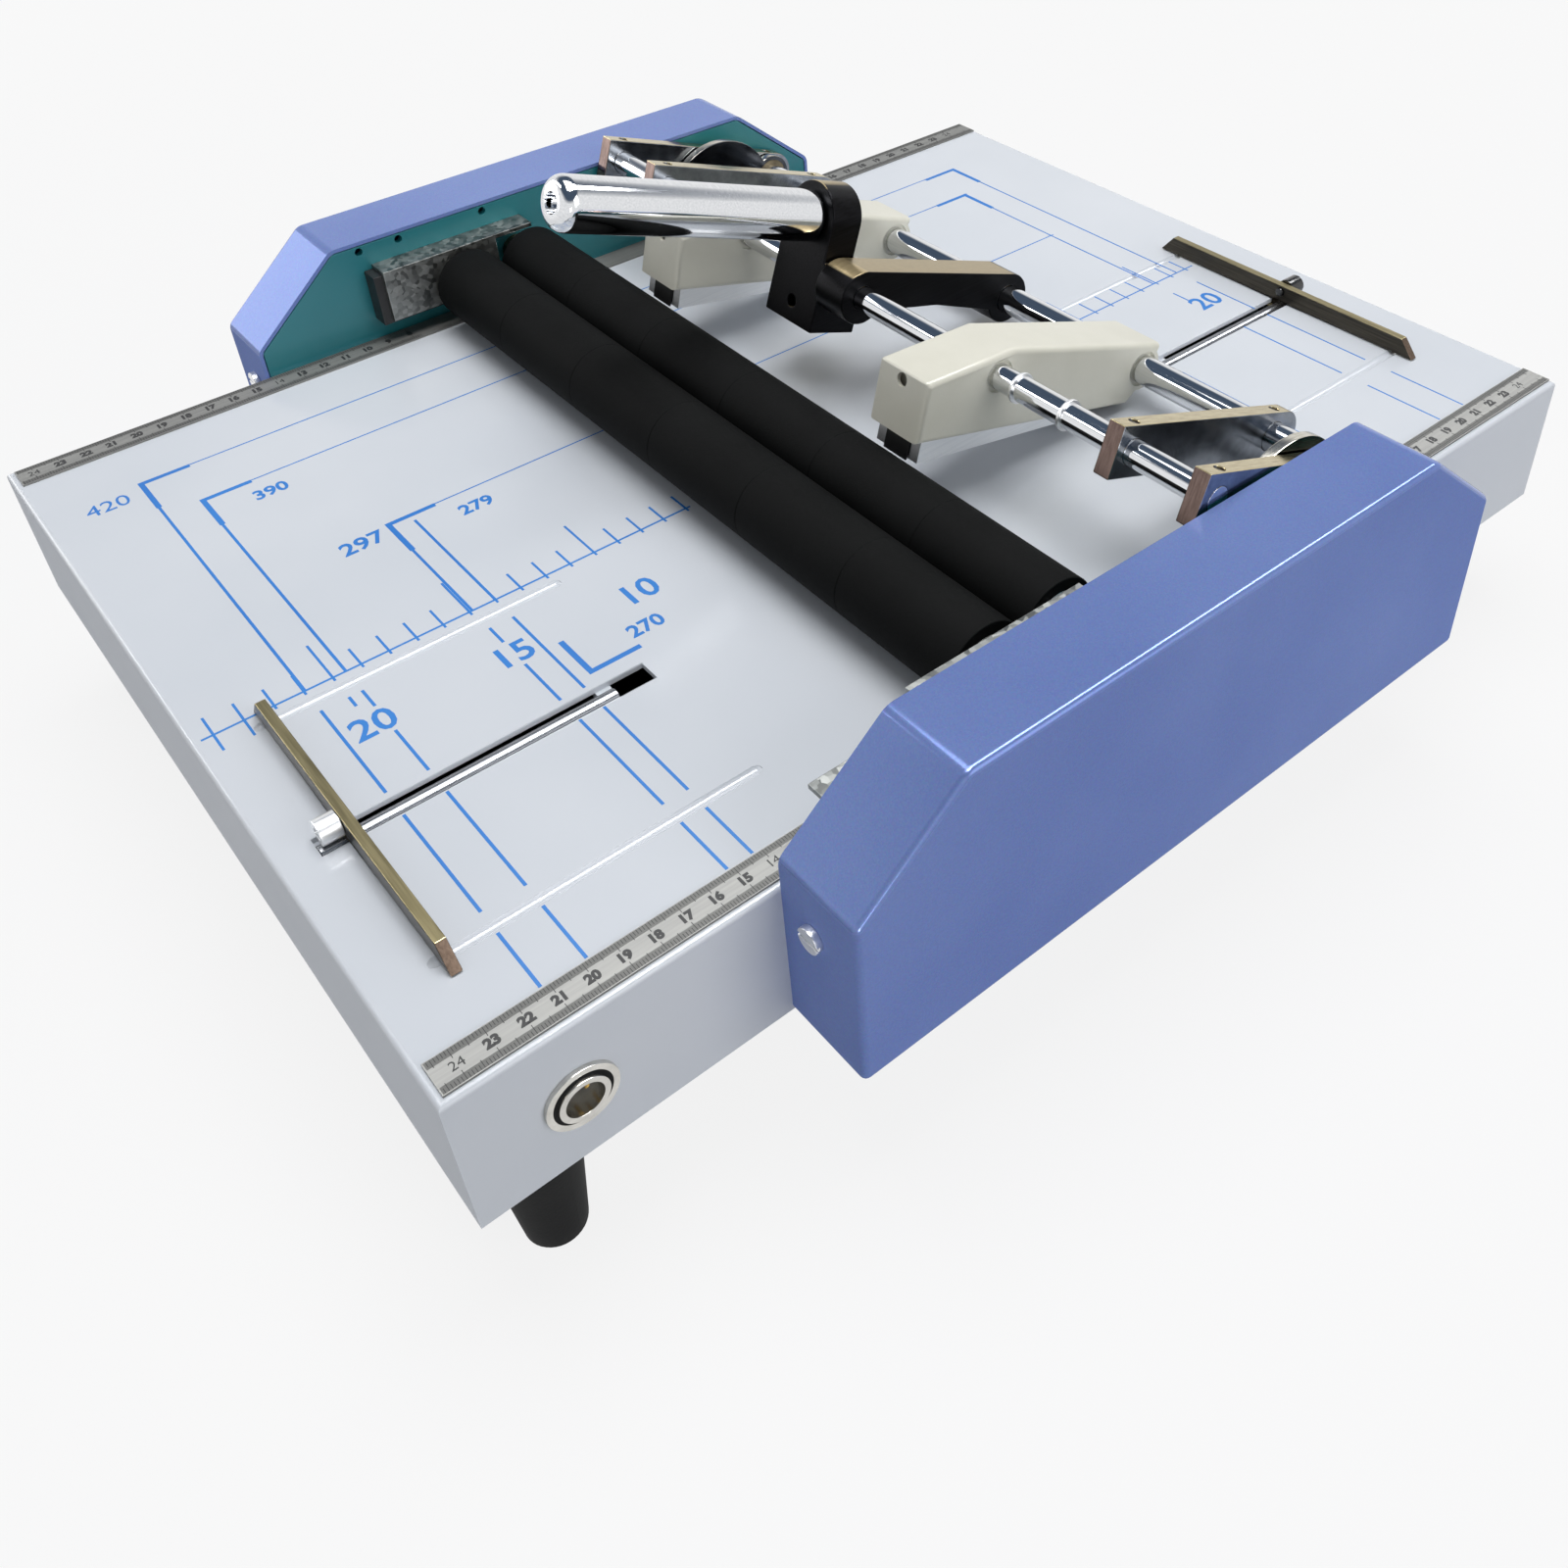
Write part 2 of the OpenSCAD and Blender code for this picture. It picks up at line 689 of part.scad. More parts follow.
module socket_pins() {
  color([0.8, 0.66, 0.3]) at_socket() at_pins()
    along_y(socket_well - 3 - table_y, socket_depth + 3 - table_y, socket_pin_d);
}

module at_inlet() {
  translate([inlet_x, table_y, deck_z - inlet_drop]) children();
}

module mains_inlet() {
  half = inlet_wid / 2;
  high = inlet_h / 2;
  color([0.1, 0.1, 0.11]) at_inlet() {
    difference() {
      union() {
        block(-half - inlet_rim, half + inlet_rim, 0, 2.5, -high - inlet_rim, high + inlet_rim);
        block(0.2 - half, half - 0.2, -inlet_depth, bite, 0.2 - high, high - 0.2);
      }
      block(-20, 4, -18, 4, -8, 8);
      translate([rocker_x - inlet_x, 0, 0]) block(-7, 7, -10, 4, -rocker_len / 2 - 1.7, rocker_len / 2 + 1.7);
    }
    for (p = [[-15, 3], [-1, 3], [-8, -3]]) block(p[0] - 2, p[0] + 2, -18.5, -6, p[1] - 1, p[1] + 1);
  }
}

module power_rocker() {
  face = rocker_in + 2.6;
  end = rocker_len / 2;
  color([0.06, 0.06, 0.06]) translate([rocker_x, table_y - rocker_in, deck_z - inlet_drop])
    rotate([-rocker_tilt, 0, 0]) translate([-rocker_wid / 2, 0, 0]) rotate([90, 0, 90])
      linear_extrude(rocker_wid)
        polygon([[0, -4], [4, -4], [face, -end], [rocker_in + 0.8, 0], [face, end], [4, 4], [0, 4]]);
}

module control_board() {
  color([0.1, 0.35, 0.2]) translate([board_x, board_y, base_z + board_lift]) {
    block(-board_len / 2, board_len / 2, -board_wid / 2, board_wid / 2, 0, 1.6);
    translate([-board_len / 4, 0, 0]) block(-17, 17, -18, 18, 1, 22);
    translate([board_len / 5, -board_wid / 5, 0]) block(-7, 7, -10, 10, 1, 16);
    translate([board_len / 3, board_wid / 5, 1]) cylinder(d = 18, h = 24);
    block(10 - board_len / 2, board_len / 2 - 10, board_wid / 2 - 12, board_wid / 2 - 4, 1, 12);
  }
}

module roller_gearmotor() {
  color([0.5, 0.51, 0.53]) translate([pinion_x, table_y - sheet_t, pinion_z]) difference() {
    translate([0, 0, -motor_shift]) {
      along_y(-gearbox_len, 0, gearbox_d);
      along_y(-gearbox_len - motor_len, 0.5 - gearbox_len, motor_d);
      along_y(-gearbox_len - motor_len - 4, 0.5 - gearbox_len - motor_len, 12);
    }
    along_y(-20, bite, motor_shaft_d + 2 * fit);
  }
}

module knife_gearmotor() {
  color([0.5, 0.51, 0.53]) translate([knife_shaft_x, knife_motor_y, knife_shaft_z]) difference() {
    union() {
      along_y(-gearbox_len, 0, gearbox_d);
      along_y(-gearbox_len - motor_len, 0.5 - gearbox_len, motor_d);
      block(-14, 14, -gearbox_len, 0, base_z - knife_shaft_z, 8 - gearbox_d / 2);
    }
    along_y(-12, bite, knife_shaft_d + 2 * fit);
  }
}

module knife_posts() {
  color([0.8, 0.8, 0.82]) both_sides() translate([post_x, post_y, base_z])
    cylinder(d = post_d, h = under_z - base_z);
}

module shaft_blocks() {
  color([0.6, 0.6, 0.62]) for (s = [-1, 1]) difference() {
    block(knife_shaft_x - 9, knife_shaft_x + 9, s * shaft_block_y - shaft_block_t / 2,
      s * shaft_block_y + shaft_block_t / 2, base_z, knife_shaft_z + 9);
    translate([knife_shaft_x, 0, knife_shaft_z])
      along_y(s * shaft_block_y - shaft_block_t, s * shaft_block_y + shaft_block_t, knife_shaft_d + 2 * fit);
  }
}

module guide_rods() {
  color([0.85, 0.86, 0.87]) {
    translate([0, front_slot_y, guide_rod_z]) along_x(front_rod0, front_rod1, guide_rod_d);
    translate([0, rear_slot_y, guide_rod_z]) along_x(rear_rod0, rear_rod1, guide_rod_d);
  }
}

module pivot_cheeks() {
  color([0.2, 0.2, 0.22]) both_sides() translate([rear_rod_x, 0, 0]) difference() {
    union() {
      intersection() {
        translate([-cheek_back, 0, deck_z + cheek_centre]) along_y(cheek_y, cheek_y + cheek_t, 2 * cheek_r);
        block(-big, big, 0, big, deck_z, big);
      }
      translate([0, 0, rear_rod_z]) along_y(cheek_y, cheek_y + cheek_t, 2 * cheek_lug_r);
      block(-cheek_back, cheek_lug_r, cheek_y, cheek_y + cheek_t, deck_z, rear_rod_z);
    }
    translate([0, 0, rear_rod_z]) along_y(cheek_y - bite, cheek_y + cheek_t + bite, rear_rod_d + 4);
  }
}

module pivot_bushes() {
  color([0.75, 0.6, 0.3]) both_sides() translate([rear_rod_x, 0, rear_rod_z]) difference() {
    along_y(cheek_y, cheek_y + cheek_t, rear_rod_d + 4);
    along_y(cheek_y - bite, cheek_y + cheek_t + bite, rear_rod_d + 2 * fit);
  }
}

// Torsion spring on the rear rod: each station is a point of the wire with its outward direction
spring_steps = 8 * spring_turns;
spring_start = 90;
function spring_dir(a) = [cos(a), 0, sin(a)];
function spring_at(a, y) = spring_r * spring_dir(a) + [0, y, 0];
spring_path = concat(
  [for (s = [spring_leg, spring_leg / 2]) [spring_at(spring_start, 0) + [s, 0, 0] * -1, [0, 0, 1]]],
  [for (i = [0 : spring_steps]) let (a = spring_start - 360 * spring_turns * i / spring_steps)
    [spring_at(a, spring_pitch * spring_turns * i / spring_steps), spring_dir(a)]]);

// Wire swept along the stations as one tube of six sides
module wire(path, d) {
  n = len(path);
  function heading(i) = let (v = path[min(i + 1, n - 1)][0] - path[max(i - 1, 0)][0]) v / norm(v);
  points = [for (i = [0 : n - 1]) let (t = heading(i), side = cross(t, path[i][1]), s = side / norm(side),
    up = cross(s, t)) for (k = [0 : 5]) path[i][0] + d / 2 * (cos(60 * k) * up + sin(60 * k) * s)];
  skin = [for (i = [0 : n - 2], k = [0 : 5]) let (a = 6 * i + k, b = 6 * i + (k + 1) % 6)
    each [[a, b, b + 6], [a, b + 6, a + 6]]];
  cap0 = [for (k = [1 : 4]) [0, k + 1, k]];
  cap1 = [for (k = [1 : 4]) [6 * (n - 1), 6 * (n - 1) + k, 6 * (n - 1) + k + 1]];
  polyhedron(points = points, faces = concat(skin, cap0, cap1));
}

spring_points = [for (p = spring_path) p[0]];
spring_last = len(spring_points) - 1;
spring_gap = min([for (i = [0 : spring_last], j = [i + 4 : 1 : spring_last])
  norm(spring_points[i] - spring_points[j])]) - spring_wire;
echo("least gap of the spring to itself, mm", spring_gap);

module return_springs() {
  color([0.8, 0.8, 0.82]) both_sides() translate([rear_rod_x, spring_y + spring_wire / 2, rear_rod_z])
    wire(spring_path, spring_wire);
}

module roller_core(y0, y1) {
  along_y(1 - roller_end, roller_end - 1, roller_core);
  along_y(y0, y1, journal_d);
}

module front_roller_core() {
  color([0.7, 0.71, 0.72]) translate([front_roller_x, 0, roller_z])
    roller_core(-front_bush_y, gear_y + gear_wid);
}

module rear_roller_core() {
  color([0.7, 0.71, 0.72]) translate([rear_roller_x, 0, roller_z])
    roller_core(-plate_y - 1, drive_y + gear_wid);
}

module roller_rubber() {
  difference() {
    along_y(-roller_end, roller_end, roller_d);
    along_y(-roller_end - bite, roller_end + bite, roller_core);
  }
}

module front_roller_rubber() {
  color([0.09, 0.09, 0.1]) translate([front_roller_x, 0, roller_z]) roller_rubber();
}

module rear_roller_rubber() {
  color([0.09, 0.09, 0.1]) translate([rear_roller_x, 0, roller_z]) roller_rubber();
}

module front_roller_gear() {
  color([0.9, 0.9, 0.86]) translate([front_roller_x, 0, roller_z])
    spur_gear(roller_teeth, gear_mod, gear_y, gear_y + gear_wid, journal_d, 0);
}

// Meshing gear and larger drive gear on one hub
module rear_roller_gears() {
  color([0.9, 0.9, 0.86]) translate([rear_roller_x, 0, roller_z]) {
    spur_gear(roller_teeth, gear_mod, gear_y, gear_y + gear_wid, journal_d, 0);
    spur_gear(drive_teeth, gear_mod, drive_y, drive_y + gear_wid, journal_d, drive_angle);
    difference() {
      along_y(gear_y + bite, drive_y + bite, journal_d + 8);
      along_y(gear_y, drive_y + 2 * bite, journal_d);
    }
  }
}

module drive_pinion() {
  color([0.8, 0.68, 0.4]) translate([pinion_x, 0, pinion_z]) {
    side_prism(tooth_points(pinion_teeth, gear_mod, drive_angle + 180 + 180 / pinion_teeth),
      drive_y, drive_y + gear_wid);
    along_y(table_y - sheet_t - 18, drive_y + gear_wid + 2, motor_shaft_d);
  }
}

module knife_blade() {
  color([0.8, 0.81, 0.83]) block(nip_x - knife_t / 2, nip_x + knife_t / 2, -knife_half, knife_half,
    deck_z - knife_low, deck_z - knife_rest);
}

// Rack teeth along Z, a gap level with the lift shaft
module rack_teeth(y0, y1) {
  step = PI * rack_mod;
  lean = tan(gear_press);
  half = step / 4 - gear_backlash / 4;
  for (i = [-4 : 1]) translate([0, 0, knife_shaft_z + (i + 0.5) * step]) side_prism([
    [rack_x - gear_top * rack_mod, half - lean * gear_top * rack_mod],
    [rack_x + gear_root * rack_mod + 0.2, half + lean * (gear_root * rack_mod + 0.2)],
    [rack_x + gear_root * rack_mod + 0.2, -half - lean * (gear_root * rack_mod + 0.2)],
    [rack_x - gear_top * rack_mod, lean * gear_top * rack_mod - half]], y0, y1);
}

module knife_carrier() {
  back = knife_face + carrier_wid;
  low = deck_z - knife_low;
  high = deck_z - carrier_top;
  color([0.55, 0.56, 0.58]) {
    difference() {
      union() {
        block(knife_face, back, -carrier_half, carrier_half, low, high);
        both_sides() block(knife_face + 1, post_x + post_lug / 2, post_y - post_lug / 2, post_y + post_lug / 2,
          low, high);
      }
      both_sides() translate([post_x, post_y, foot_h]) cylinder(d = post_d + 2 * fit, h = skirt_h);
    }
    both_sides() {
      block(rack_x + gear_root * rack_mod, back, rack_y - rack_wid / 2, rack_y + rack_wid / 2,
        deck_z - rack_low, low);
      block(knife_face, back, rack_y - rack_wid / 2, rack_y + rack_wid / 2, low - bite, low + bite);
      rack_teeth(rack_y - rack_wid / 2, rack_y + rack_wid / 2);
    }
  }
}

module knife_shaft() {
  color([0.75, 0.76, 0.78]) translate([knife_shaft_x, 0, knife_shaft_z])
    along_y(knife_motor_y - 10, shaft_block_y + shaft_block_t / 2, knife_shaft_d);
}

module knife_pinions() {
  color([0.8, 0.68, 0.4]) translate([knife_shaft_x, 0, knife_shaft_z]) both_sides()
    spur_gear(knife_teeth, rack_mod, rack_y - rack_wid / 2 - 1, rack_y + rack_wid / 2 + 1, knife_shaft_d, 0);
}

module rear_rod() {
  color([0.85, 0.86, 0.88]) press() along_y(-rod_end, rod_end, rear_rod_d);
}

module front_rod() {
  color([0.85, 0.86, 0.88]) press() translate([-rod_span, 0, 0]) difference() {
    along_y(-front_rod_end, front_rod_end, front_rod_d);
    for (y = ring_spots) difference() {
      along_y(y - ring_t / 2, y + ring_t / 2, front_rod_d + 2);
      along_y(y - ring_t, y + ring_t, front_rod_d - 2 * ring_groove);
    }
  }
}

// Flat press arm with a bore for each rod and a screw hole above it
module press_arm(y) {
  difference() {
    union() {
      block(-rod_span - arm_front, arm_rear - arm_h / 2, y - arm_t / 2, y + arm_t / 2, -arm_h / 2, arm_h / 2);
      translate([arm_rear - arm_h / 2, 0, 0]) along_y(y - arm_t / 2, y + arm_t / 2, arm_h);
    }
    along_y(y - arm_t, y + arm_t, rear_rod_d);
    translate([-rod_span, 0, 0]) along_y(y - arm_t, y + arm_t, front_rod_d);
    for (x = [-rod_span, 0]) translate([x, y, 0]) cylinder(d = arm_screw_d, h = arm_h);
  }
}

module inner_arms() {
  color([0.6, 0.6, 0.6]) press() both_sides() press_arm(inner_arm_y);
}

module outer_arms() {
  color([0.6, 0.6, 0.6]) press() both_sides() press_arm(outer_arm_y);
}

module arm_screw(x, y, r) {
  translate([x, y, 0]) difference() {
    intersection() {
      cylinder(d = arm_screw_d, h = arm_h / 2 - 0.8);
      block(-arm_h, arm_h, -arm_h, arm_h, r, arm_h);
    }
    translate([0, 0, arm_h / 2 - 2]) cylinder(d = 2, h = 3, $fn = 6);
  }
}

module arm_screws() {
  color([0.3, 0.3, 0.32]) press() both_sides() for (y = [inner_arm_y, outer_arm_y]) {
    arm_screw(0, y, rear_rod_d / 2);
    arm_screw(-rod_span, y, front_rod_d / 2);
  }
}

module rod_rings() {
  color([0.9, 0.9, 0.9]) press() translate([-rod_span, 0, 0]) for (y = ring_spots) difference() {
    along_y(y - ring_t / 2, y + ring_t / 2, ring_d);
    along_y(y - ring_t, y + ring_t, front_rod_d - 2 * ring_groove);
  }
}

module spring_collars() {
  color([0.5, 0.5, 0.52]) both_sides() translate([rear_rod_x, 0, rear_rod_z]) difference() {
    along_y(rod_collar_y, rod_end, 24);
    along_y(rod_collar_y - bite, rod_end + bite, rear_rod_d);
  }
}

module lever_arm() {
  near = block_y0 - lever_wid;
  color([0.09, 0.09, 0.1]) press() difference() {
    union() {
      along_y(near, block_y0, 2 * lever_hub_r);
      translate([-rod_span, 0, 0]) along_y(near, block_y0, 2 * lever_hub_r);
      side_prism([[0, lever_hub_r], [-rod_span, lever_hub_r], [-rod_span, -6], [-rod_span / 2, -3], [0, -6]],
        near, block_y0);
    }
    along_y(near - bite, block_y0 + bite, rear_rod_d);
    translate([-rod_span, 0, 0]) along_y(near - bite, block_y0 + bite, front_rod_d);
  }
}

module lever_block() {
  color([0.09, 0.09, 0.1]) press() difference() {
    union() {
      block(-block_front, -block_rear, block_y0, block_y0 + block_wid, block_low, 8);
      block(-block_front, -ear_rear, block_y0 + 1, block_y0 + block_wid - 1, 0, grip_rise);
      translate([0, block_y, grip_rise]) along_x(-block_front, -ear_rear, block_wid - 2);
    }
    translate([-rod_span, 0, 0]) along_y(block_y0 - bite, block_y0 + block_wid + bite, front_rod_d);
    translate([0, block_y, grip_rise]) along_x(-block_front - bite, -ear_rear + bite, grip_bolt_d);
    translate([0, block_y, -13]) along_x(-block_front - bite, 4 - block_front, 5);
  }
}

// Grip: turned bar with a domed end, a screw recess there and a blind hole for its bolt
module grip_tube() {
  color([0.86, 0.87, 0.88]) press() translate([-block_front, block_y, grip_rise]) rotate([0, -90, 0])
    difference() {
      rotate_extrude() union() {
        square([grip_d / 2, grip_len - grip_end_r]);
        square([grip_d / 2 - grip_end_r, grip_len]);
        translate([grip_d / 2 - grip_end_r, grip_len - grip_end_r]) intersection() {
          circle(grip_end_r);
          square(grip_end_r);
        }
      }
      translate([0, 0, -bite]) cylinder(d = grip_bolt_d, h = grip_thread + bite);
      translate([0, 0, grip_len - 4]) cylinder(d = 8, h = 5);
      translate([0, 0, grip_len - 9]) cylinder(d = 4, h = 6, $fn = 6);
    }
}

module grip_bolt() {
  color([0.4, 0.38, 0.35]) press() translate([0, block_y, grip_rise]) {
    along_x(-block_front - grip_thread, -ear_rear, grip_bolt_d);
    along_x(-ear_rear, 3 - ear_rear, grip_bolt_d + 4);
  }
}

function case_top(inset) = [[inset - stapler_reach, case_front_v - inset], [-case_break, case_top_v - inset],
  [case_back - inset, case_top_v - inset]];

// Hole through a casing for a press rod, stepped out at both faces
module rod_hole(d) {
  along_y(-stapler_wid, stapler_wid, d);
  for (s = [-1, 1]) translate([0, s * stapler_wid / 2, 0])
    along_y(-rod_step, rod_step, d + 2 * rod_step_gap);
}

// Stapler casing, open below, with the staple driver on its roof
module stapler_case(y) {
  half = stapler_wid / 2;
  inner = half - stapler_wall;
  drop = [0, -3];
  press() translate([0, y, 0]) {
    difference() {
      union() {
        side_prism(concat(case_top(0), [case_low_rear, case_belly, case_low_front]), -half, half);
        along_y(-half, half, 2 * case_hub_r);
      }
      side_prism(concat(case_top(stapler_wall), [case_low_rear + drop - [stapler_wall, 0], case_belly + drop,
        case_low_front + drop + [stapler_wall, 0]]), -inner, inner);
      along_y(-inner, inner, 2 * (case_hub_r - stapler_wall));
      rod_hole(rear_rod_d);
      translate([-rod_span, 0, 0]) rod_hole(front_rod_d);
      translate([0, 0, case_front_v - 3.6]) along_x(-stapler_reach - 5, 10 - stapler_reach, 5.2);
    }
    rotate([0, driver_angle, 0]) block(-driver_r - driver_t / 2, driver_t / 2 - driver_r,
      -driver_wid / 2, driver_wid / 2, -6, 15.6);
  }
}

module near_stapler_case() {
  color([0.8, 0.8, 0.75]) stapler_case(near_stapler_y);
}

module far_stapler_case() {
  color([0.8, 0.8, 0.75]) stapler_case(far_stapler_y);
}

// Lower edge of the closed magazine rail at distance u in front of the rear rod
function rail_low(u) = case_low_rear[1] - rail_drop
  + (case_low_front[1] - case_low_rear[1]) * (u + case_low_rear[0]) / (case_low_rear[0] - case_low_front[0]);

module at_magazine(y) {
  press() rotate([0, -magazine_open, 0]) translate([0, y, 0]) children();
}

// Bright rail of the magazine with the two ears that hang it on the rear rod
module magazine(y) {
  half = rail_wid / 2;
  inner = half - rail_t;
  front = rail_low(rail_front);
  rear = rail_low(rail_rear);
  at_magazine(y) {
    difference() {
      union() {
        side_prism([[-rail_front, front], [-rail_front, front + rail_h], [-rail_rear, rear + rail_h],
          [-rail_rear, rear]], -half, half);
        side_prism([[-rail_rear - 14, front + rail_h], [-rail_rear - 10, 0], [0, rail_ear_r],
          [-2.5, 0.5 - rail_ear_r], [4 - rail_rear, rear + 2.4]], -half, half);
        along_y(-half, half, 2 * rail_ear_r);
      }
      side_prism([[-rail_front - bite, rail_low(rail_front + bite) + rail_t], [-rail_front - bite, 20],
        [20, 20], [20, rail_low(-20) + rail_t]], -inner, inner);
      along_y(-rail_wid, rail_wid, rear_rod_d + 2 * fit);
    }
    both_sides() block(-rail_front, rail_t - rail_front, nose_wid / 2 + slide_gap, half - rail_t / 2,
      front + rail_t / 2, front + rail_h - rail_t);
  }
}

// Black guide in the front of the rail, slotted for the staple driver
module nose(y) {
  inner = nose_wid / 2;
  low = rail_low(rail_front);
  at_magazine(y) difference() {
    union() {
      side_prism([[-rail_front, low + rail_t], [-rail_front, low + nose_h],
        [nose_len - rail_front, low + nose_h],
        [nose_len - rail_front, rail_low(rail_front - nose_len) + rail_t]], -inner, inner);
      block(-rail_front - nose_lip, bite - rail_front, -inner, inner, low + rail_t, low + nose_h);
      block(-rail_front - nose_lip, -rail_front, -inner, inner, low - nose_lip, low + rail_t);
    }
    rotate([0, driver_angle, 0]) block(-driver_r - driver_gap, driver_gap - driver_r,
      -driver_wid / 2 - 0.4, driver_wid / 2 + 0.4, -12, 20);
  }
}

module near_magazine() {
  color([0.8, 0.8, 0.82]) magazine(near_stapler_y);
}

module far_magazine() {
  color([0.8, 0.8, 0.82]) magazine(far_stapler_y);
}

module near_nose() {
  color([0.06, 0.06, 0.06]) nose(near_stapler_y);
}

module far_nose() {
  color([0.06, 0.06, 0.06]) nose(far_stapler_y);
}

// Fence bar with its end pins, neck and the slider on the guide rod
module fence(x, y, len, h) {
  side = fence_t / 2;
  neck = slot_wid / 2 - slide_gap;
  difference() {
    union() {
      translate([x - side, y - len / 2, deck_z + fence_lift]) rotate([90, 0, 90]) linear_extrude(fence_t)
        polygon([[0, 0], [len, 0], [len - fence_slope, h], [fence_slope, h]]);
      for (s = [-1, 1]) translate([x, y + s * groove_off, deck_z - guide_pin_dip])
        cylinder(d = guide_pin_d, h = guide_pin_dip + fence_lift + 0.5);
      block(x - side + 0.2, x + side - 0.2, y - neck, y + neck, under_z - bite, deck_z + fence_lift + 0.5);
      block(x - slider_len / 2, x + slider_len / 2, y - slider_wid / 2, y + slider_wid / 2,
        deck_z - slider_low, under_z - slide_gap);
    }
    translate([x, y, guide_rod_z]) along_x(-slider_len, slider_len, guide_rod_d + 2 * fit);
    translate([x, y, deck_z + fence_screw_z]) along_x(-fence_t, fence_t, fence_shank_d + 2 * fit);
  }
}

module front_fence() {
  color([0.5, 0.38, 0.28]) fence(front_fence_x, front_slot_y, front_fence_len, front_fence_h);
}

module rear_fence() {
  color([0.5, 0.38, 0.28]) fence(rear_fence_x, rear_slot_y, rear_fence_len, rear_fence_h);
}

module front_fence_screw() {
  color([0.85, 0.86, 0.87]) translate([front_fence_x - fence_t / 2, front_slot_y, deck_z + fence_screw_z])
    difference() {
      union() {
        along_x(-7, -slide_gap, 8.6);
        along_x(-2, fence_t - 1, fence_shank_d);
      }
      rotate([0, 90, 0]) translate([0, 0, -8]) cylinder(d = 4.6, h = 4, $fn = 6);
    }
}

module rear_fence_knob() {
  color([0.07, 0.07, 0.08]) translate([rear_fence_x + fence_t / 2, rear_slot_y, deck_z + fence_screw_z]) {
    along_x(slide_gap, 8, 8.4);
    along_x(-fence_t - 1, 2, fence_shank_d);
  }
}

table_chassis();
base_plate();
rubber_feet();
near_side_plate();
far_side_plate();
near_hood();
far_hood();
hood_screws();
roller_brackets();
guide_blocks();
roller_bushes();
rulers();
staple_anvils();
socket_gasket();
socket_shell();
socket_insert();
socket_pins();
mains_inlet();
power_rocker();
control_board();
roller_gearmotor();
knife_gearmotor();
knife_posts();
shaft_blocks();
guide_rods();
pivot_cheeks();
pivot_bushes();
return_springs();
front_roller_core();
front_roller_rubber();
rear_roller_core();
rear_roller_rubber();
front_roller_gear();
rear_roller_gears();
drive_pinion();
knife_blade();
knife_carrier();
knife_shaft();
knife_pinions();
rear_rod();
front_rod();
inner_arms();
outer_arms();
arm_screws();
rod_rings();
spring_collars();
lever_arm();
lever_block();
grip_tube();
grip_bolt();
near_stapler_case();
far_stapler_case();
near_magazine();
far_magazine();
near_nose();
far_nose();
front_fence();
front_fence_screw();
rear_fence();
rear_fence_knob();
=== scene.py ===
# %% [markdown]
# # A bench booklet maker: table, fold rollers and hand press
#
# Two rubber rollers fold sheets of paper, and two stapler heads on a hand lever stitch them.
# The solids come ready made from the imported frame, in metres, each one on the body it moves with.
# This lesson keeps every solid where it is and gives the machine its looks: softened edges,
# painted and polished finishes, the blue print on the table and the graduations of the rulers.

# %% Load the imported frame
import json
import math

import bmesh
import bpy
from mathutils import Matrix, Vector

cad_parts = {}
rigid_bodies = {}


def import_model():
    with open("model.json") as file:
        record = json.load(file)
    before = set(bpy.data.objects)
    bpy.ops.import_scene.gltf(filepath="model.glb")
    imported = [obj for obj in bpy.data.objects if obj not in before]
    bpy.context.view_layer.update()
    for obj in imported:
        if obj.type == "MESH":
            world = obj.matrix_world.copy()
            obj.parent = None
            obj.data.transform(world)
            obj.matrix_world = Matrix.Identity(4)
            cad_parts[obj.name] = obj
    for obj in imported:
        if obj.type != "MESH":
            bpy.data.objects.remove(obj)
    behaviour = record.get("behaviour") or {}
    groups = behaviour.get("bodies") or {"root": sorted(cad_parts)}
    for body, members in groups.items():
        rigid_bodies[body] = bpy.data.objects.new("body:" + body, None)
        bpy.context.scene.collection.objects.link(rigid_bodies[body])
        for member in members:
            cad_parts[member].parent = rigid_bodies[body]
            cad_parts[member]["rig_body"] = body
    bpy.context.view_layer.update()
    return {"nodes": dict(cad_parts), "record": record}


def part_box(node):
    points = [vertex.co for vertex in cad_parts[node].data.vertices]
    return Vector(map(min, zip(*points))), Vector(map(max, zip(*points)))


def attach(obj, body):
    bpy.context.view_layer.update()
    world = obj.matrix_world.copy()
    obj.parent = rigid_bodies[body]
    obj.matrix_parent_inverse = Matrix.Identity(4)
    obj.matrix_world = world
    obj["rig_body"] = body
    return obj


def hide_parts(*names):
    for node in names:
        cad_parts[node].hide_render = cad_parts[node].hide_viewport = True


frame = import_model()
nodes = frame["nodes"]
slot_of = {row["node"]: row["material_slot"] for row in frame["record"]["subparts"]}
MM = 0.001

# %% [markdown]
# ## The camera
#
# The camera stands where the photograph was taken: in front of the near corner, looking down on the table.
# Its place and turn were solved from the centimetre marks of the rulers, so they are plain numbers here.
# The middle of the picture is not the point that the lens looks at, so the lens is shifted instead of the
# view being turned, which would change the perspective.

# %% Camera at the photograph's angle
camera_place = (-295.87, -421.9, 447.98)
camera_turn = (51.557, 1.263, -40.258)
camera_data = bpy.data.cameras.new("portrait_camera")
camera_data.sensor_width = 36
camera_data.lens = 34.965
camera_data.shift_x, camera_data.shift_y = -0.0715, -0.1441
camera = bpy.data.objects.new("portrait_camera", camera_data)
camera.location = Vector(camera_place) * MM
camera.rotation_euler = [math.radians(turn) for turn in camera_turn]
bpy.context.scene.collection.objects.link(camera)
bpy.context.scene.camera = camera
print("camera", [round(x, 3) for x in camera.location])

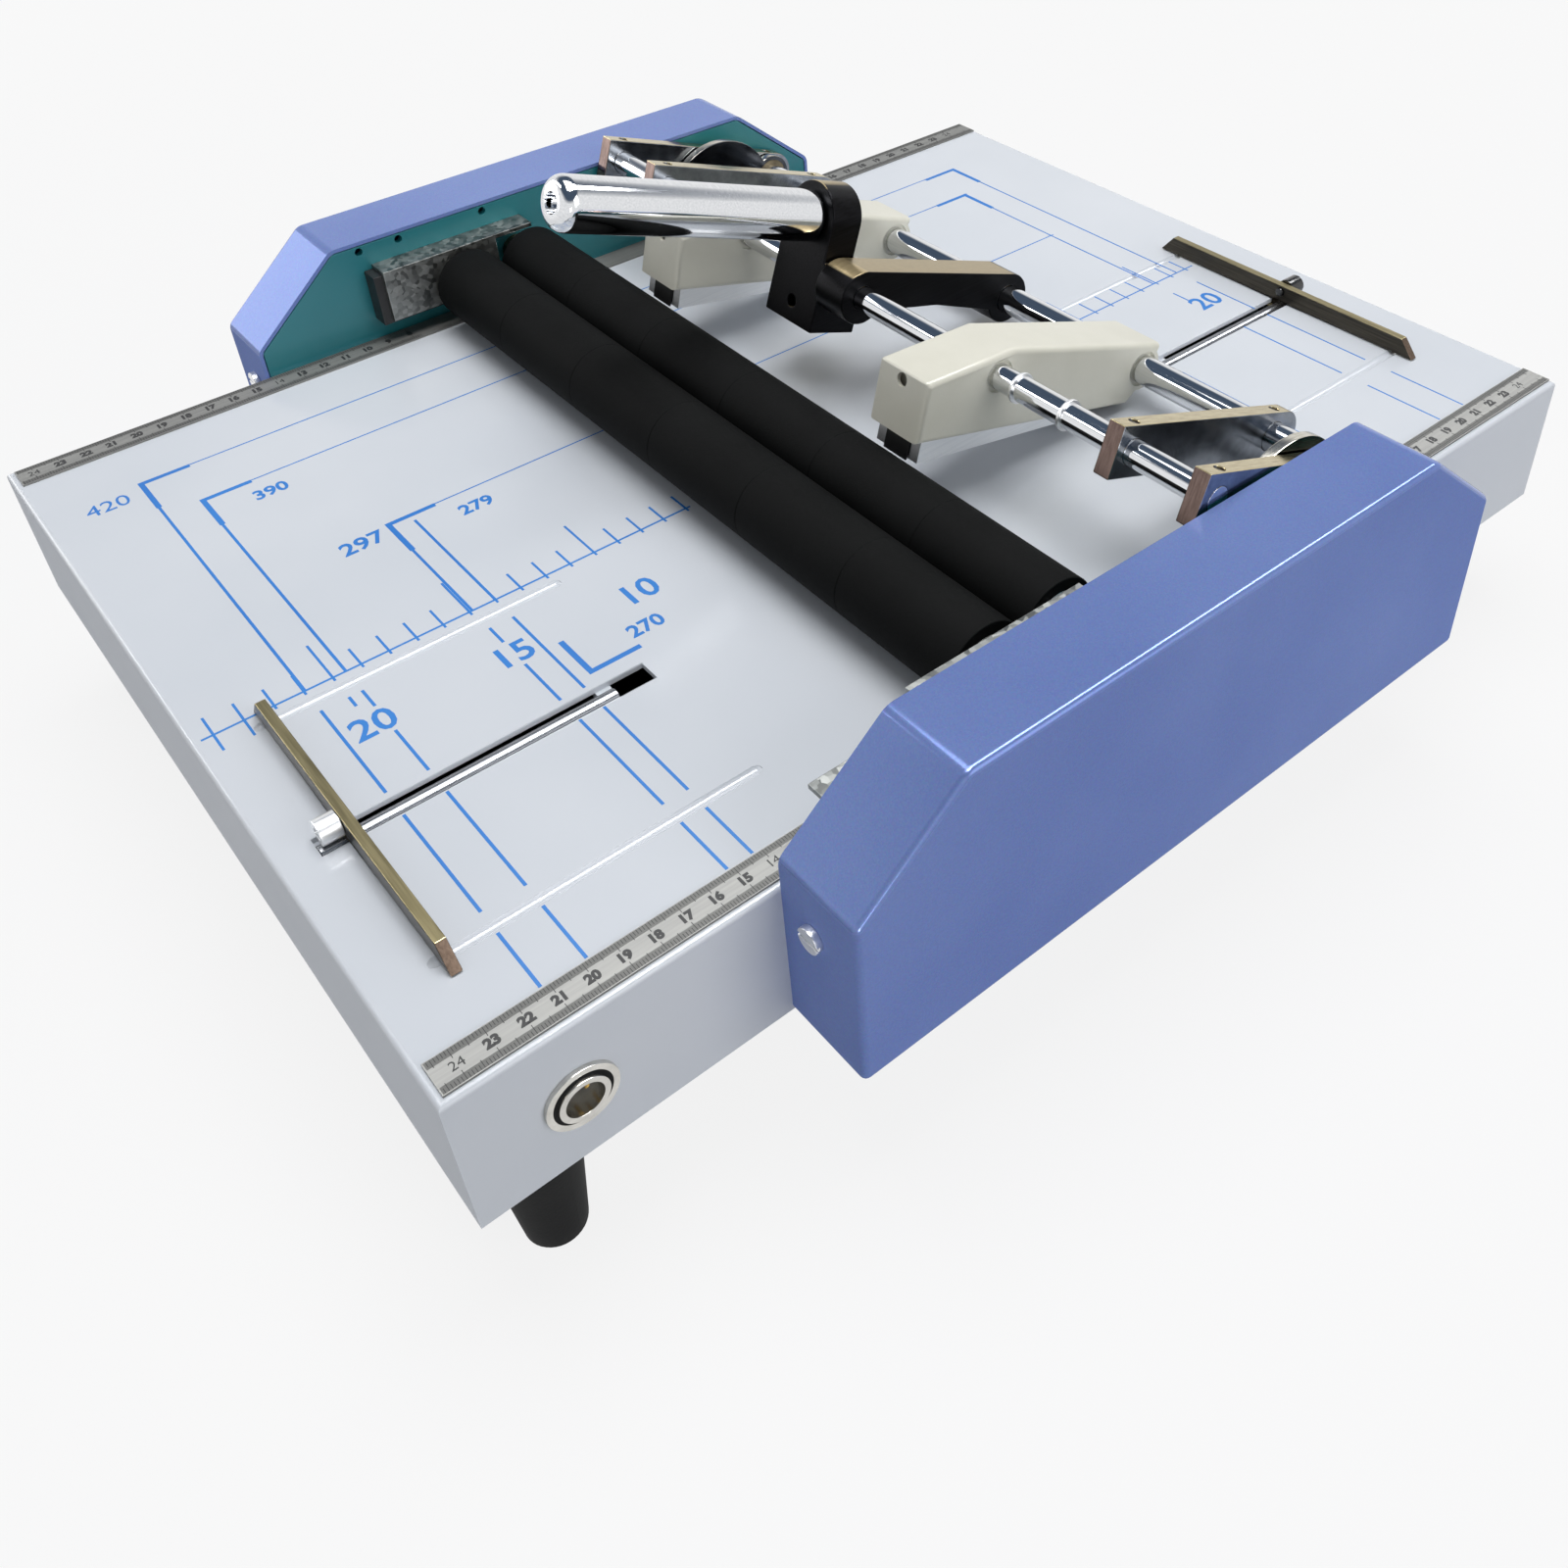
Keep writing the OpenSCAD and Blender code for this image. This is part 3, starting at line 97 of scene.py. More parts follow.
# %% [markdown]
# ## Finishes are small node trees
#
# A real surface is never one flat colour: paint has orange peel, steel has drawn lines, rubber is dusty.
# Pictures could give that, but node patterns need no files and keep their scale on every piece. Each finish
# starts from one Principled shader. What is the same all over is set on its sockets, and what changes from
# place to place comes from a pattern on Object coordinates, in metres: scale 1000 repeats every millimetre.

# %% Colours and patterns
finishes = {}


def srgb(red, green, blue):
    """A colour picked from a screen, as the linear colour a shader wants."""
    def linear(c):
        c /= 255
        return c / 12.92 if c <= 0.04045 else ((c + 0.055) / 1.055) ** 2.4
    return linear(red), linear(green), linear(blue), 1.0


def start_finish(name, sockets=None):
    """A new entry in the table of finishes, with what is the same all over it set on the shader."""
    material = bpy.data.materials.new(name)
    material.use_nodes = True
    tree = material.node_tree
    shader = tree.nodes["Principled BSDF"]
    for socket, value in (sockets or {}).items():
        shader.inputs[socket].default_value = value
    finishes[name] = material
    return tree, shader


def pattern(tree, kind, scale, stretch=(1, 1, 1), **sockets):
    """A texture on Object coordinates; stretch draws it out into lines."""
    where = tree.nodes.new("ShaderNodeTexCoord")
    mapping = tree.nodes.new("ShaderNodeMapping")
    mapping.inputs["Scale"].default_value = stretch
    texture = tree.nodes.new("ShaderNodeTex" + kind)
    texture.inputs["Scale"].default_value = scale
    for socket, value in sockets.items():
        texture.inputs[socket].default_value = value
    tree.links.new(where.outputs["Object"], mapping.inputs["Vector"])
    tree.links.new(mapping.outputs["Vector"], texture.inputs["Vector"])
    return texture


def tint(tree, factor, dark, light, low=0.3, high=0.7):
    """A colour that runs from dark to light with a pattern."""
    ramp = tree.nodes.new("ShaderNodeValToRGB")
    for element, spot, colour in zip(ramp.color_ramp.elements, (low, high), (dark, light)):
        element.position, element.color = spot, colour
    tree.links.new(factor, ramp.inputs["Fac"])
    return ramp.outputs["Color"]


print("colours and patterns ready")

# %% Numbers and relief
def span(tree, factor, values, limits=(0.0, 1.0)):
    """A number that runs between two values while a factor runs between two limits."""
    fit = tree.nodes.new("ShaderNodeMapRange")
    for socket, value in zip(("From Min", "From Max", "To Min", "To Max"), limits + values):
        fit.inputs[socket].default_value = value
    tree.links.new(factor, fit.inputs["Value"])
    return fit.outputs["Result"]


def reckon(tree, operation, *factors):
    """A small sum with numbers of the tree, such as the larger of two."""
    step = tree.nodes.new("ShaderNodeMath")
    step.operation = operation
    for factor, socket in zip(factors, step.inputs):
        tree.links.new(factor, socket)
    return step.outputs[0]


def facing(tree, axis, values, limits):
    """A number that changes with how squarely a face looks along an axis of the piece."""
    where = tree.nodes.new("ShaderNodeTexCoord")
    split = tree.nodes.new("ShaderNodeSeparateXYZ")
    tree.links.new(where.outputs["Normal"], split.inputs["Vector"])
    return span(tree, reckon(tree, "ABSOLUTE", split.outputs[axis]), values, limits)


def relief(tree, shader, factor, strength, height):
    """Fine unevenness that the light catches."""
    bump = tree.nodes.new("ShaderNodeBump")
    bump.inputs["Strength"].default_value = strength
    bump.inputs["Distance"].default_value = height
    tree.links.new(factor, bump.inputs["Height"])
    tree.links.new(bump.outputs["Normal"], shader.inputs["Normal"])


print("numbers and relief ready")

# %% [markdown]
# ## Paint
#
# The table, the hoods and the side plates are painted sheet steel. A large soft pattern shifts the colour
# a little, as uneven paint does, and a millimetre-sized one gives the orange peel. The hoods' paint also
# holds metal flakes: tiny cells of different brightness. Upright faces are wiped less than flat ones and
# stay dull, so the paint asks which way a face looks and has a least roughness there.

# %% Painted finishes
cloud_scale, flake_scale, peel_scale = 9, 2200, 700
peel_strength, peel_height = 0.06, 0.2 * MM
upright_limits = (0.1, 0.4)


def paint(name, dark, light, rough, sockets=None, flakes=0.0, upright=0.0):
    """flakes is the share of the sparkle, and upright the least roughness of upright faces."""
    tree, shader = start_finish(name, sockets)
    cloud = pattern(tree, "Noise", cloud_scale, Detail=3.0).outputs["Fac"]
    colour = tint(tree, cloud, dark, light)
    if flakes:
        cells = pattern(tree, "Voronoi", flake_scale)
        sparkle = tree.nodes.new("ShaderNodeMix")
        sparkle.data_type, sparkle.blend_type = "RGBA", "SOFT_LIGHT"
        sparkle.inputs["Factor"].default_value = flakes
        tree.links.new(colour, sparkle.inputs["A"])
        tree.links.new(cells.outputs["Color"], sparkle.inputs["B"])
        colour = sparkle.outputs["Result"]
    tree.links.new(colour, shader.inputs["Base Color"])
    roughness = span(tree, cloud, rough)
    if upright:
        least = facing(tree, "Z", (upright, 0.0), upright_limits)
        roughness = reckon(tree, "MAXIMUM", roughness, least)
    tree.links.new(roughness, shader.inputs["Roughness"])
    peel = pattern(tree, "Noise", peel_scale, Detail=2.0)
    relief(tree, shader, peel.outputs["Fac"], peel_strength, peel_height)


paint("deck_paint", srgb(204, 209, 216), srgb(212, 216, 222), (0.14, 0.2), upright=0.6)
paint("hood_blue", srgb(108, 128, 187), srgb(120, 140, 196), (0.12, 0.2),
      {"Metallic": 0.25, "Specular IOR Level": 0.14}, flakes=0.12, upright=0.75)
paint("plate_teal", srgb(24, 112, 122), srgb(36, 128, 136), (0.34, 0.46),
      {"Coat Weight": 0.2, "Coat Roughness": 0.12})
paint("board_green", srgb(18, 84, 46), srgb(26, 104, 58), (0.35, 0.5))
print("painted:", sorted(finishes))

# %% [markdown]
# ## Bare metal
#
# Turned rods, screws and folded brackets are the same shader with different grain: a noise drawn out
# along one axis makes drawing or grinding lines, and it moves colour, roughness and relief together.
# Galvanised sheet has flat crystals instead, which a Voronoi pattern gives.

# %% Metal finishes
even, along_x, along_y = (1, 1, 1), (2, 60, 60), (60, 2, 60)
brushed, ground = (30, 4, 4), (8, 60, 8)
line_depth, line_height = 0.05, 0.1 * MM


def start_metal(name, rough, scale, stretch, depth):
    """Start a metal whose lines move roughness and relief. The colour is left to the caller."""
    tree, shader = start_finish(name, {"Metallic": 1.0})
    lines = pattern(tree, "Noise", scale, stretch, Detail=4.0, Roughness=0.6).outputs["Fac"]
    tree.links.new(span(tree, lines, rough), shader.inputs["Roughness"])
    relief(tree, shader, lines, depth, line_height)
    return tree, shader, lines


def metal(name, dark, light, rough, scale, stretch=even, depth=line_depth):
    tree, shader, lines = start_metal(name, rough, scale, stretch, depth)
    tree.links.new(tint(tree, lines, dark, light), shader.inputs["Base Color"])


metal("rod_chrome", srgb(212, 214, 217), srgb(228, 229, 231), (0.05, 0.09), 25, along_y, 0.008)
metal("bright_screw", srgb(222, 223, 224), srgb(238, 238, 238), (0.28, 0.38), 200)
metal("rod_grey", srgb(132, 134, 138), srgb(156, 158, 162), (0.22, 0.32), 25, along_x, 0.02)
metal("socket_chrome", srgb(190, 188, 182), srgb(214, 212, 206), (0.16, 0.28), 150)
metal("bright_steel", srgb(222, 224, 226), srgb(234, 235, 236), (0.4, 0.5), 20, along_x, 0.02)
metal("spring_steel", srgb(168, 170, 173), srgb(205, 206, 208), (0.2, 0.32), 300)
metal("motor_steel", srgb(128, 130, 134), srgb(156, 158, 161), (0.3, 0.45), 20, along_y)
metal("dark_screw", srgb(58, 57, 56), srgb(88, 86, 84), (0.28, 0.42), 250)
metal("bronze_bush", srgb(104, 94, 76), srgb(136, 124, 100), (0.25, 0.38), 150)
metal("gold_pin", srgb(196, 158, 78), srgb(226, 190, 104), (0.15, 0.25), 300)
metal("ruler_steel", srgb(124, 124, 122), srgb(136, 136, 133), (0.5, 0.6), 14, along_x, 0.02)
metal("bracket_alloy", srgb(150, 152, 152), srgb(192, 193, 190), (0.26, 0.4), 30, brushed)
print(len(finishes), "finishes so far")

# %% Galvanised sheet with its crystals
crystal_scale = 480
tree, shader = start_finish("galvanised", {"Metallic": 1.0})
crystals = pattern(tree, "Voronoi", crystal_scale)
grey = tree.nodes.new("ShaderNodeRGBToBW")
tree.links.new(crystals.outputs["Color"], grey.inputs["Color"])
zinc = tint(tree, grey.outputs["Val"], srgb(112, 114, 112), srgb(158, 160, 157), 0.1, 0.9)
tree.links.new(zinc, shader.inputs["Base Color"])
tree.links.new(span(tree, grey.outputs["Val"], (0.28, 0.48)), shader.inputs["Roughness"])
print("crystals about", round(1 / MM / crystal_scale), "mm across")

# %% [markdown]
# ## Metal that changes with the side
#
# The press arms are sawn and ground bars of one steel, and their colour on each side is painted light: the
# narrow upper edges are a lighter khaki as a painted highlight, the polished wide faces a darker grey as a
# painted reflection, and the sawn front ends are brown. The pivot cheeks have a bright rim as a painted
# highlight and dark faces as a painted reflection. The fences are bronze on top, and their nearly black
# sides are painted shade. The black lever is worn to the metal on top; on the round top of the lever block
# that light colour is a painted highlight. Faces could be sorted into several materials by hand,
# but one finish does it when it asks which way the face looks, in the piece's own space.

# %% Finishes that follow the side of a face
squarely, mostly, only_flat = (0.8, 0.9), (0.6, 0.7), (0.91, 0.95)


# The colours of the sides are painted light: one metal with lit and shaded looks on different sides.
def sided_metal(name, edge, sides, rough, scale, stretch):
    """edge colours lie everywhere but on the sides: each side has an axis, its colours and its limits."""
    tree, shader, lines = start_metal(name, rough, scale, stretch, line_depth)
    colour = tint(tree, lines, *edge)
    for axis, pair, limits in sides:
        mix = tree.nodes.new("ShaderNodeMix")
        mix.data_type = "RGBA"
        tree.links.new(facing(tree, axis, (0.0, 1.0), limits), mix.inputs["Factor"])
        tree.links.new(colour, mix.inputs["A"])
        tree.links.new(tint(tree, lines, *pair), mix.inputs["B"])
        colour = mix.outputs["Result"]
    tree.links.new(colour, shader.inputs["Base Color"])


# Arms: the khaki of the upper edges is a painted highlight, and the grey of the wide faces is a painted
# reflection.
sided_metal("arm_steel", (srgb(166, 152, 116), srgb(198, 186, 150)),
            [("Y", (srgb(120, 124, 130), srgb(160, 164, 170)), squarely),
             ("X", (srgb(96, 80, 74), srgb(126, 108, 102)), squarely)], (0.14, 0.26), 18, ground)
# Cheeks: the bright rim is a painted highlight, and the dark faces are a painted reflection.
sided_metal("cheek_steel", (srgb(184, 180, 168), srgb(212, 208, 198)),
            [("Y", (srgb(60, 62, 66), srgb(92, 94, 98)), squarely)], (0.14, 0.24), 18, ground)
# Fences: the nearly black colour of the sides is painted shade; the top and the ends show the bronze.
sided_metal("fence_bronze", (srgb(52, 49, 44), srgb(76, 72, 64)),
            [("Z", (srgb(136, 126, 94), srgb(160, 149, 114)), squarely),
             ("Y", (srgb(86, 72, 62), srgb(112, 96, 84)), mostly)], (0.26, 0.4), 22, along_y)
# Lever: the khaki on flat tops is worn bare metal on the arm and a painted highlight on the round top of the
# block.
sided_metal("lever_black", (srgb(16, 16, 17), srgb(25, 25, 27)),
            [("Z", (srgb(172, 154, 116), srgb(194, 176, 138)), only_flat)], (0.3, 0.42), 20, along_x)
print(len(finishes), "finishes with the sided ones")

# %% [markdown]
# ## Rubber and moulded plastic
#
# Roller rubber is ground matte and holds grey paper dust, the feet are plain moulded rubber, and the
# stapler bodies are warm cream plastic with a fine moulded grain. All of them are dielectric, so the
# pattern moves roughness more than colour.

# %% Rubber and plastic finishes
dust_scale, grain_height = 35, 0.2 * MM


def moulded(name, dark, light, rough, grain, depth, sockets=None):
    """grain is the scale of the moulded surface, and depth how strongly it shows."""
    tree, shader = start_finish(name, sockets)
    dust = pattern(tree, "Noise", dust_scale, Detail=5.0).outputs["Fac"]
    fine = pattern(tree, "Noise", grain, Detail=2.0).outputs["Fac"]
    tree.links.new(tint(tree, dust, dark, light), shader.inputs["Base Color"])
    tree.links.new(span(tree, dust, rough), shader.inputs["Roughness"])
    relief(tree, shader, fine, depth, grain_height)


moulded("roller_rubber", srgb(8, 9, 9), srgb(15, 16, 16), (0.62, 0.8), 1500, 0.3,
        {"Specular IOR Level": 0.05})
moulded("black_rubber", srgb(6, 7, 8), srgb(12, 13, 14), (0.55, 0.75), 900, 0.25,
        {"Specular IOR Level": 0.12})
moulded("black_plastic", srgb(18, 18, 19), srgb(30, 30, 31), (0.38, 0.55), 1200, 0.15)
moulded("black_gloss", srgb(14, 14, 15), srgb(22, 22, 23), (0.16, 0.26), 1200, 0.05,
        {"Coat Weight": 0.4})
moulded("insert_grey", srgb(112, 112, 110), srgb(132, 132, 129), (0.3, 0.42), 1200, 0.1)
moulded("stapler_cream", srgb(204, 202, 188), srgb(213, 211, 198), (0.34, 0.46), 1400, 0.12,
        {"Coat Weight": 0.15})
moulded("gear_nylon", srgb(208, 207, 194), srgb(222, 221, 210), (0.38, 0.5), 1200, 0.08)
print(len(finishes), "finishes")

# %% [markdown]
# ## Every solid gets its finish
#
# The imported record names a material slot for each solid. Solids that stay as they are get the finish of
# that slot on their own mesh; the pieces made later take theirs from the same table.

# %% Put the finishes on the solids
own_finish = {"guide_rods": "rod_grey", "socket_insert": "insert_grey"}


def finish_of(node):
    """The finish of a solid: that of its slot, unless it has one of its own."""
    return finishes[own_finish.get(node, slot_of[node])]


for name, solid in nodes.items():
    solid.data.materials.clear()
    solid.data.materials.append(finish_of(name))
print(len(nodes), "solids finished")

# %% [markdown]
# ## A step that ends every piece
#
# A bmesh becomes a piece by going into a mesh, being shaded smooth except at sharp corners, and riding on
# the body that carries it. Weighted normals keep wide faces flat next to their rounded edges. A piece that
# stands for a solid takes its body and finish from that solid.

# %% The finishing step
def place(bm, name, body, finish, sharp=40):
    """Make a bmesh a piece that rides on a body. Corners of more than sharp degrees stay crisp."""
    mesh = bpy.data.meshes.new(name)
    bm.to_mesh(mesh)
    bm.free()
    if "custom_normal" in mesh.attributes:
        mesh.attributes.remove(mesh.attributes["custom_normal"])
    mesh.shade_smooth()
    mesh.set_sharp_from_angle(angle=math.radians(sharp))
    mesh.materials.clear()
    mesh.materials.append(finish)
    piece = bpy.data.objects.new(name, mesh)
    bpy.context.scene.collection.objects.link(piece)
    weighted = piece.modifiers.new("flat_faces", "WEIGHTED_NORMAL")
    weighted.keep_sharp = True
    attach(piece, body)
    return piece


def dress(bm, node, name, sharp=40):
    """Place a piece that stands for a solid."""
    piece = place(bm, name, nodes[node]["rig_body"], finish_of(node), sharp)
    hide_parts(node)
    return piece


# %% [markdown]
# ## Softened edges
#
# No real edge is perfectly sharp, and the thin highlight along an edge is what makes a part look made.
# A copy of a solid is merged, its flat faces are joined again, and its sharp edges are bevelled by the
# small radius that the part has: more on moulded plastic, very little on sawn steel. A Bevel modifier could
# do this too, but the operator takes a list of edges, so some can be left out.

# %% Helpers for copies with soft edges
merge_room, flat_degrees = 0.003, 0.5


def merged_copy(node):
    """A copy of a solid whose triangles are merged and whose flat faces are joined again."""
    bm = bmesh.new()
    bm.from_mesh(nodes[node].data)
    bmesh.ops.remove_doubles(bm, verts=bm.verts, dist=merge_room * MM)
    bmesh.ops.dissolve_limit(bm, angle_limit=math.radians(flat_degrees), verts=bm.verts, edges=bm.edges)
    return bm


def soften(bm, edges, width, segments, clamp=False):
    """Round edges by a width in millimetres. clamp keeps bevels that meet from overlapping."""
    bmesh.ops.bevel(bm, geom=edges, offset=width * MM, offset_type="OFFSET", affect="EDGES",
                    segments=segments, profile=0.5, material=-1, clamp_overlap=clamp)


def sharp_edges(bm, degrees):
    """The edges at which two faces meet at more than an angle."""
    limit = math.radians(degrees)
    return [e for e in bm.edges if len(e.link_faces) == 2 and e.calc_face_angle(0) > limit]


print("flat faces are joined again within", flat_degrees, "degrees")

# %% Copies with softened edges
pierced_plates = ("near_side_plate", "far_side_plate")
hole_edge = 6
edge_radius = {
    "inner_arms": 0.5, "outer_arms": 0.5, "pivot_cheeks": 0.4, "lever_arm": 0.6, "lever_block": 0.7,
    "near_side_plate": 0.4, "far_side_plate": 0.4, "roller_brackets": 0.35, "guide_blocks": 0.4,
    "front_fence": 0.35, "rear_fence": 0.35, "rubber_feet": 1.0, "hood_screws": 0.25, "arm_screws": 0.12,
    "grip_bolt": 0.3, "front_fence_screw": 0.2, "rear_fence_knob": 0.5, "socket_shell": 0.25,
    "mains_inlet": 0.5, "power_rocker": 0.5, "rod_rings": 0.2, "spring_collars": 0.3,
    "front_rod": 0.2, "rear_rod": 0.4, "guide_rods": 0.4, "staple_anvils": 0.15,
    "near_magazine": 0.2, "far_magazine": 0.2, "near_nose": 0.4, "far_nose": 0.4,
}


def softened(node, width):
    """A copy with soft edges. On a pierced plate the short edges round the holes stay sharp."""
    bm = merged_copy(node)
    shortest = hole_edge * MM if node in pierced_plates else 0
    soften(bm, [e for e in sharp_edges(bm, 40) if e.calc_length() > shortest], width, 2)
    return dress(bm, node, node + "_finished")


for node, width in edge_radius.items():
    piece = softened(node, width)
    print(piece.name, len(piece.data.polygons), "faces")

# %% [markdown]
# ## The grip
#
# The chrome grip is a turned tube. Its domed end comes from the solid, and the end that stands on the lever
# block is turned round too. The rim of that end is the outline of the one large flat face of the tube, so
# that face is found first, and its edges near the bolt are left out.

# %% Grip tube with a round end
grip_radius, bolt_room = 2.6, 8
grip = merged_copy("grip_tube")
end_face = max((f for f in grip.faces if f.normal.x > 0.8), key=lambda f: f.calc_area())
axis = end_face.normal.copy()
flat_end = [f for f in grip.faces if f.normal.dot(axis) > 0.999]
middle = sum((v.co for f in flat_end for v in f.verts), Vector()) / sum(len(f.verts) for f in flat_end)
rim = [e for e in sharp_edges(grip, 60) if any(f in flat_end for f in e.link_faces)
       and all((v.co - middle).length > bolt_room * MM for v in e.verts)]
bmesh.ops.dissolve_faces(grip, faces=flat_end)
soften(grip, [e for e in rim if e.is_valid], grip_radius, 5)
print(len(rim), "edges round the end of the grip")
dress(grip, "grip_tube", "grip_tube_finished")

# %% [markdown]
# ## The stapler casings
#
# The casings are moulded, with wide round edges along the outline of their two sides. Those edges are found
# by asking for an edge between a side face and a face that runs across, away from the rod holes. The edge
# across the front has a hole just below it, so it gets a smaller radius on a strip that ends above the hole.

# %% A strip for the front edge
touch, spare = 0.02 * MM, 1.1


def cut_strip(bm, edge, depth):
    """Cut the front face along a line below its top edge, and make what is above it one face."""
    front = min(edge.link_faces, key=lambda f: f.normal.x)
    normal, start = front.normal.copy(), edge.verts[0].co.copy()
    down = normal.cross((0, 1, 0))
    down = down if down.z < 0 else -down

    def in_front():
        return [f for f in bm.faces if f.normal.dot(normal) > 0.9999]

    def above(face):
        return all((v.co - start).dot(down) < depth + touch / 2 for v in face.verts)

    flat = in_front()
    geom = set(flat) | {e for f in flat for e in f.edges} | {v for f in flat for v in f.verts}
    bmesh.ops.bisect_plane(bm, geom=list(geom), plane_co=start + down * depth, plane_no=down)
    bmesh.ops.dissolve_faces(bm, faces=[f for f in in_front() if above(f)])


print("points within", touch, "m count as level")

# %% Casings with moulded edges
case_side, case_front = 2.4, 0.8


def moulded_case(node):
    bm = merged_copy(node)
    low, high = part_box(node)
    near_top = high.z - spare * case_side * MM

    def outline(edge):
        sides = [abs(f.normal.y) for f in edge.link_faces]
        at_side = all(min(v.co.y - low.y, high.y - v.co.y) < touch for v in edge.verts)
        return at_side and max(sides) > 0.99 and min(sides) < 0.1 and edge.calc_length() > hole_edge * MM

    def front_top(edge):
        at_top = all(v.co.z > near_top for v in edge.verts)
        rises, leans = max(f.normal.z for f in edge.link_faces), min(f.normal.x for f in edge.link_faces)
        return at_top and rises > 0.5 and leans < -0.4

    soften(bm, [e for e in sharp_edges(bm, 60) if outline(e)], case_side, 4)
    edges = [e for e in sharp_edges(bm, 35) if front_top(e)]
    cut_strip(bm, max(edges, key=lambda e: e.calc_length()), spare * case_front * MM)
    edges = [e for e in sharp_edges(bm, 35) if front_top(e)]
    soften(bm, edges, case_front, 3)
    print(node, len(edges), "edges across the front")
    dress(bm, node, node + "_finished")


for node in ("near_stapler_case", "far_stapler_case"):
    moulded_case(node)

# %% [markdown]
# ## The table
#
# The table top is one folded sheet, so its outer edges are bends of a few millimetres, while the slots are
# cut. Only the edges round the top are bevelled wide; the long edges of the slots get a small radius, which
# is enough for a thin highlight.

# %% Table sheet with rolled edges
bend_radius, lip_radius, shortest_lip = 1.9, 0.6, 40
table_low, table_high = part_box("table_chassis")


def on_top(edge):
    return all(abs(v.co.z - table_high.z) < touch for v in edge.verts)


def on_rim(edge):
    """True for an edge of the top that lies on the outline of the table."""
    return on_top(edge) and any(all(abs(v.co[axis] - side[axis]) < touch for v in edge.verts)
                                for axis in (0, 1) for side in (table_low, table_high))


table = merged_copy("table_chassis")
corners = [e for e in sharp_edges(table, 60) if on_rim(e)]
print(len(corners), "edges round the table top")
soften(table, corners, bend_radius, 4, clamp=True)
lips = [e for e in sharp_edges(table, 60) if e.calc_length() > shortest_lip * MM and on_top(e)]
soften(table, lips, lip_radius, 2)
print(len(lips), "long edges of the slots softened")
dress(table, "table_chassis", "table_sheet")

# %% [markdown]
# ## The hoods
#
# Each hood is a deep drawn tray: a six-cornered outline, drawn out towards the table and open there.
# So it starts as one face, is extruded, and loses its open side. Its corners are bevelled before the
# sheet gets its thickness, so that the inside follows the outside.

# %% Hood shells
hood_half_top, hood_shoulder = 106 * MM, 121 * MM
hood_radius, hood_sheet = 2.4, 1.6


def turn_outwards(bm, outer):
    """Make the faces point out. The largest face of a hood is its end, which lies on the outer side."""
    bmesh.ops.recalc_face_normals(bm, faces=bm.faces)
    end = max(bm.faces, key=lambda f: f.calc_area())
    if end.normal.y * outer < 0:
        bmesh.ops.reverse_faces(bm, faces=bm.faces)


def hood_shell(node):
    low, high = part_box(node)
    outer, inner = (low.y, high.y) if low.y < 0 else (high.y, low.y)
    outline = [(low.x, low.z), (low.x, hood_shoulder), (-hood_half_top, high.z),
               (hood_half_top, high.z), (high.x, hood_shoulder), (high.x, low.z)]
    bm = bmesh.new()
    face = bm.faces.new([bm.verts.new((x, outer, z)) for x, z in outline])
    grown = bmesh.ops.extrude_face_region(bm, geom=[face])["geom"]
    open_side = [f for f in grown if isinstance(f, bmesh.types.BMFace)]
    bmesh.ops.translate(bm, verts=open_side[0].verts, vec=(0, inner - outer, 0))
    bmesh.ops.delete(bm, geom=open_side, context="FACES_ONLY")
    turn_outwards(bm, outer)
    soften(bm, [e for e in bm.edges if len(e.link_faces) == 2], hood_radius, 4, clamp=True)
    turn_outwards(bm, outer)
    bmesh.ops.solidify(bm, geom=bm.faces[:], thickness=hood_sheet * MM)
    return dress(bm, node, node + "_shell")


for node in ("near_hood", "far_hood"):
    print(hood_shell(node).name, "made")

# %% [markdown]
# ## The fold rollers
#
# A fold roller is a steel core with rubber sleeves pushed on end to end. The joints between the sleeves
# show as faint rings. The half section of all sleeves is drawn once and spun round the core.

# %% Rubber sleeves
sleeve_count, core_radius = 6, 11 * MM
groove, soft_end = 0.3 * MM, 0.5 * MM


def sleeves(node):
    low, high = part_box(node)
    centre = (low + high) / 2
    radius, half = (high.z - low.z) / 2, (high.y - low.y) / 2
    profile = [(-half, core_radius), (-half, radius - soft_end), (soft_end - half, radius)]
    for i in range(1, sleeve_count):
        joint = -half + 2 * half * i / sleeve_count
        profile += [(joint - groove, radius), (joint, radius - groove), (joint + groove, radius)]
    profile += [(half - soft_end, radius), (half, radius - soft_end), (half, core_radius)]
    bm = bmesh.new()
    ring = [bm.verts.new((centre.x, centre.y + y, centre.z + r)) for y, r in profile]
    for a, b in zip(ring, ring[1:] + ring[:1]):
        bm.edges.new((a, b))
    bmesh.ops.spin(bm, geom=bm.verts[:] + bm.edges[:], cent=centre, axis=(0, 1, 0),
                   angle=2 * math.pi, steps=72, use_merge=True)
    bmesh.ops.remove_doubles(bm, verts=bm.verts, dist=0.001 * MM)
    bmesh.ops.recalc_face_normals(bm, faces=bm.faces)
    return dress(bm, node, node + "_sleeves", sharp=50)


for node in ("front_roller_rubber", "rear_roller_rubber"):
    print(sleeves(node).name, "made")

# %% [markdown]
# ## Ink
#
# Print is a thin layer on the paint. It could be part of the paint's node tree, but as a mesh it stays sharp
# at any size. Lines become very flat bars, a few hundredths of a millimetre high, and numbers start as text
# and become meshes. All bars of one ink are kept in one bmesh and one piece.

# %% Ink and helpers for printing
paint("print_blue", srgb(0, 110, 196), srgb(10, 124, 208), (0.4, 0.55))
paint("print_black", srgb(18, 18, 19), srgb(32, 32, 33), (0.4, 0.55))
paint("ruler_band", srgb(84, 84, 82), srgb(102, 102, 99), (0.4, 0.55), {"Metallic": 0.3})
deck_top = table_high.z
ink = 0.04 * MM


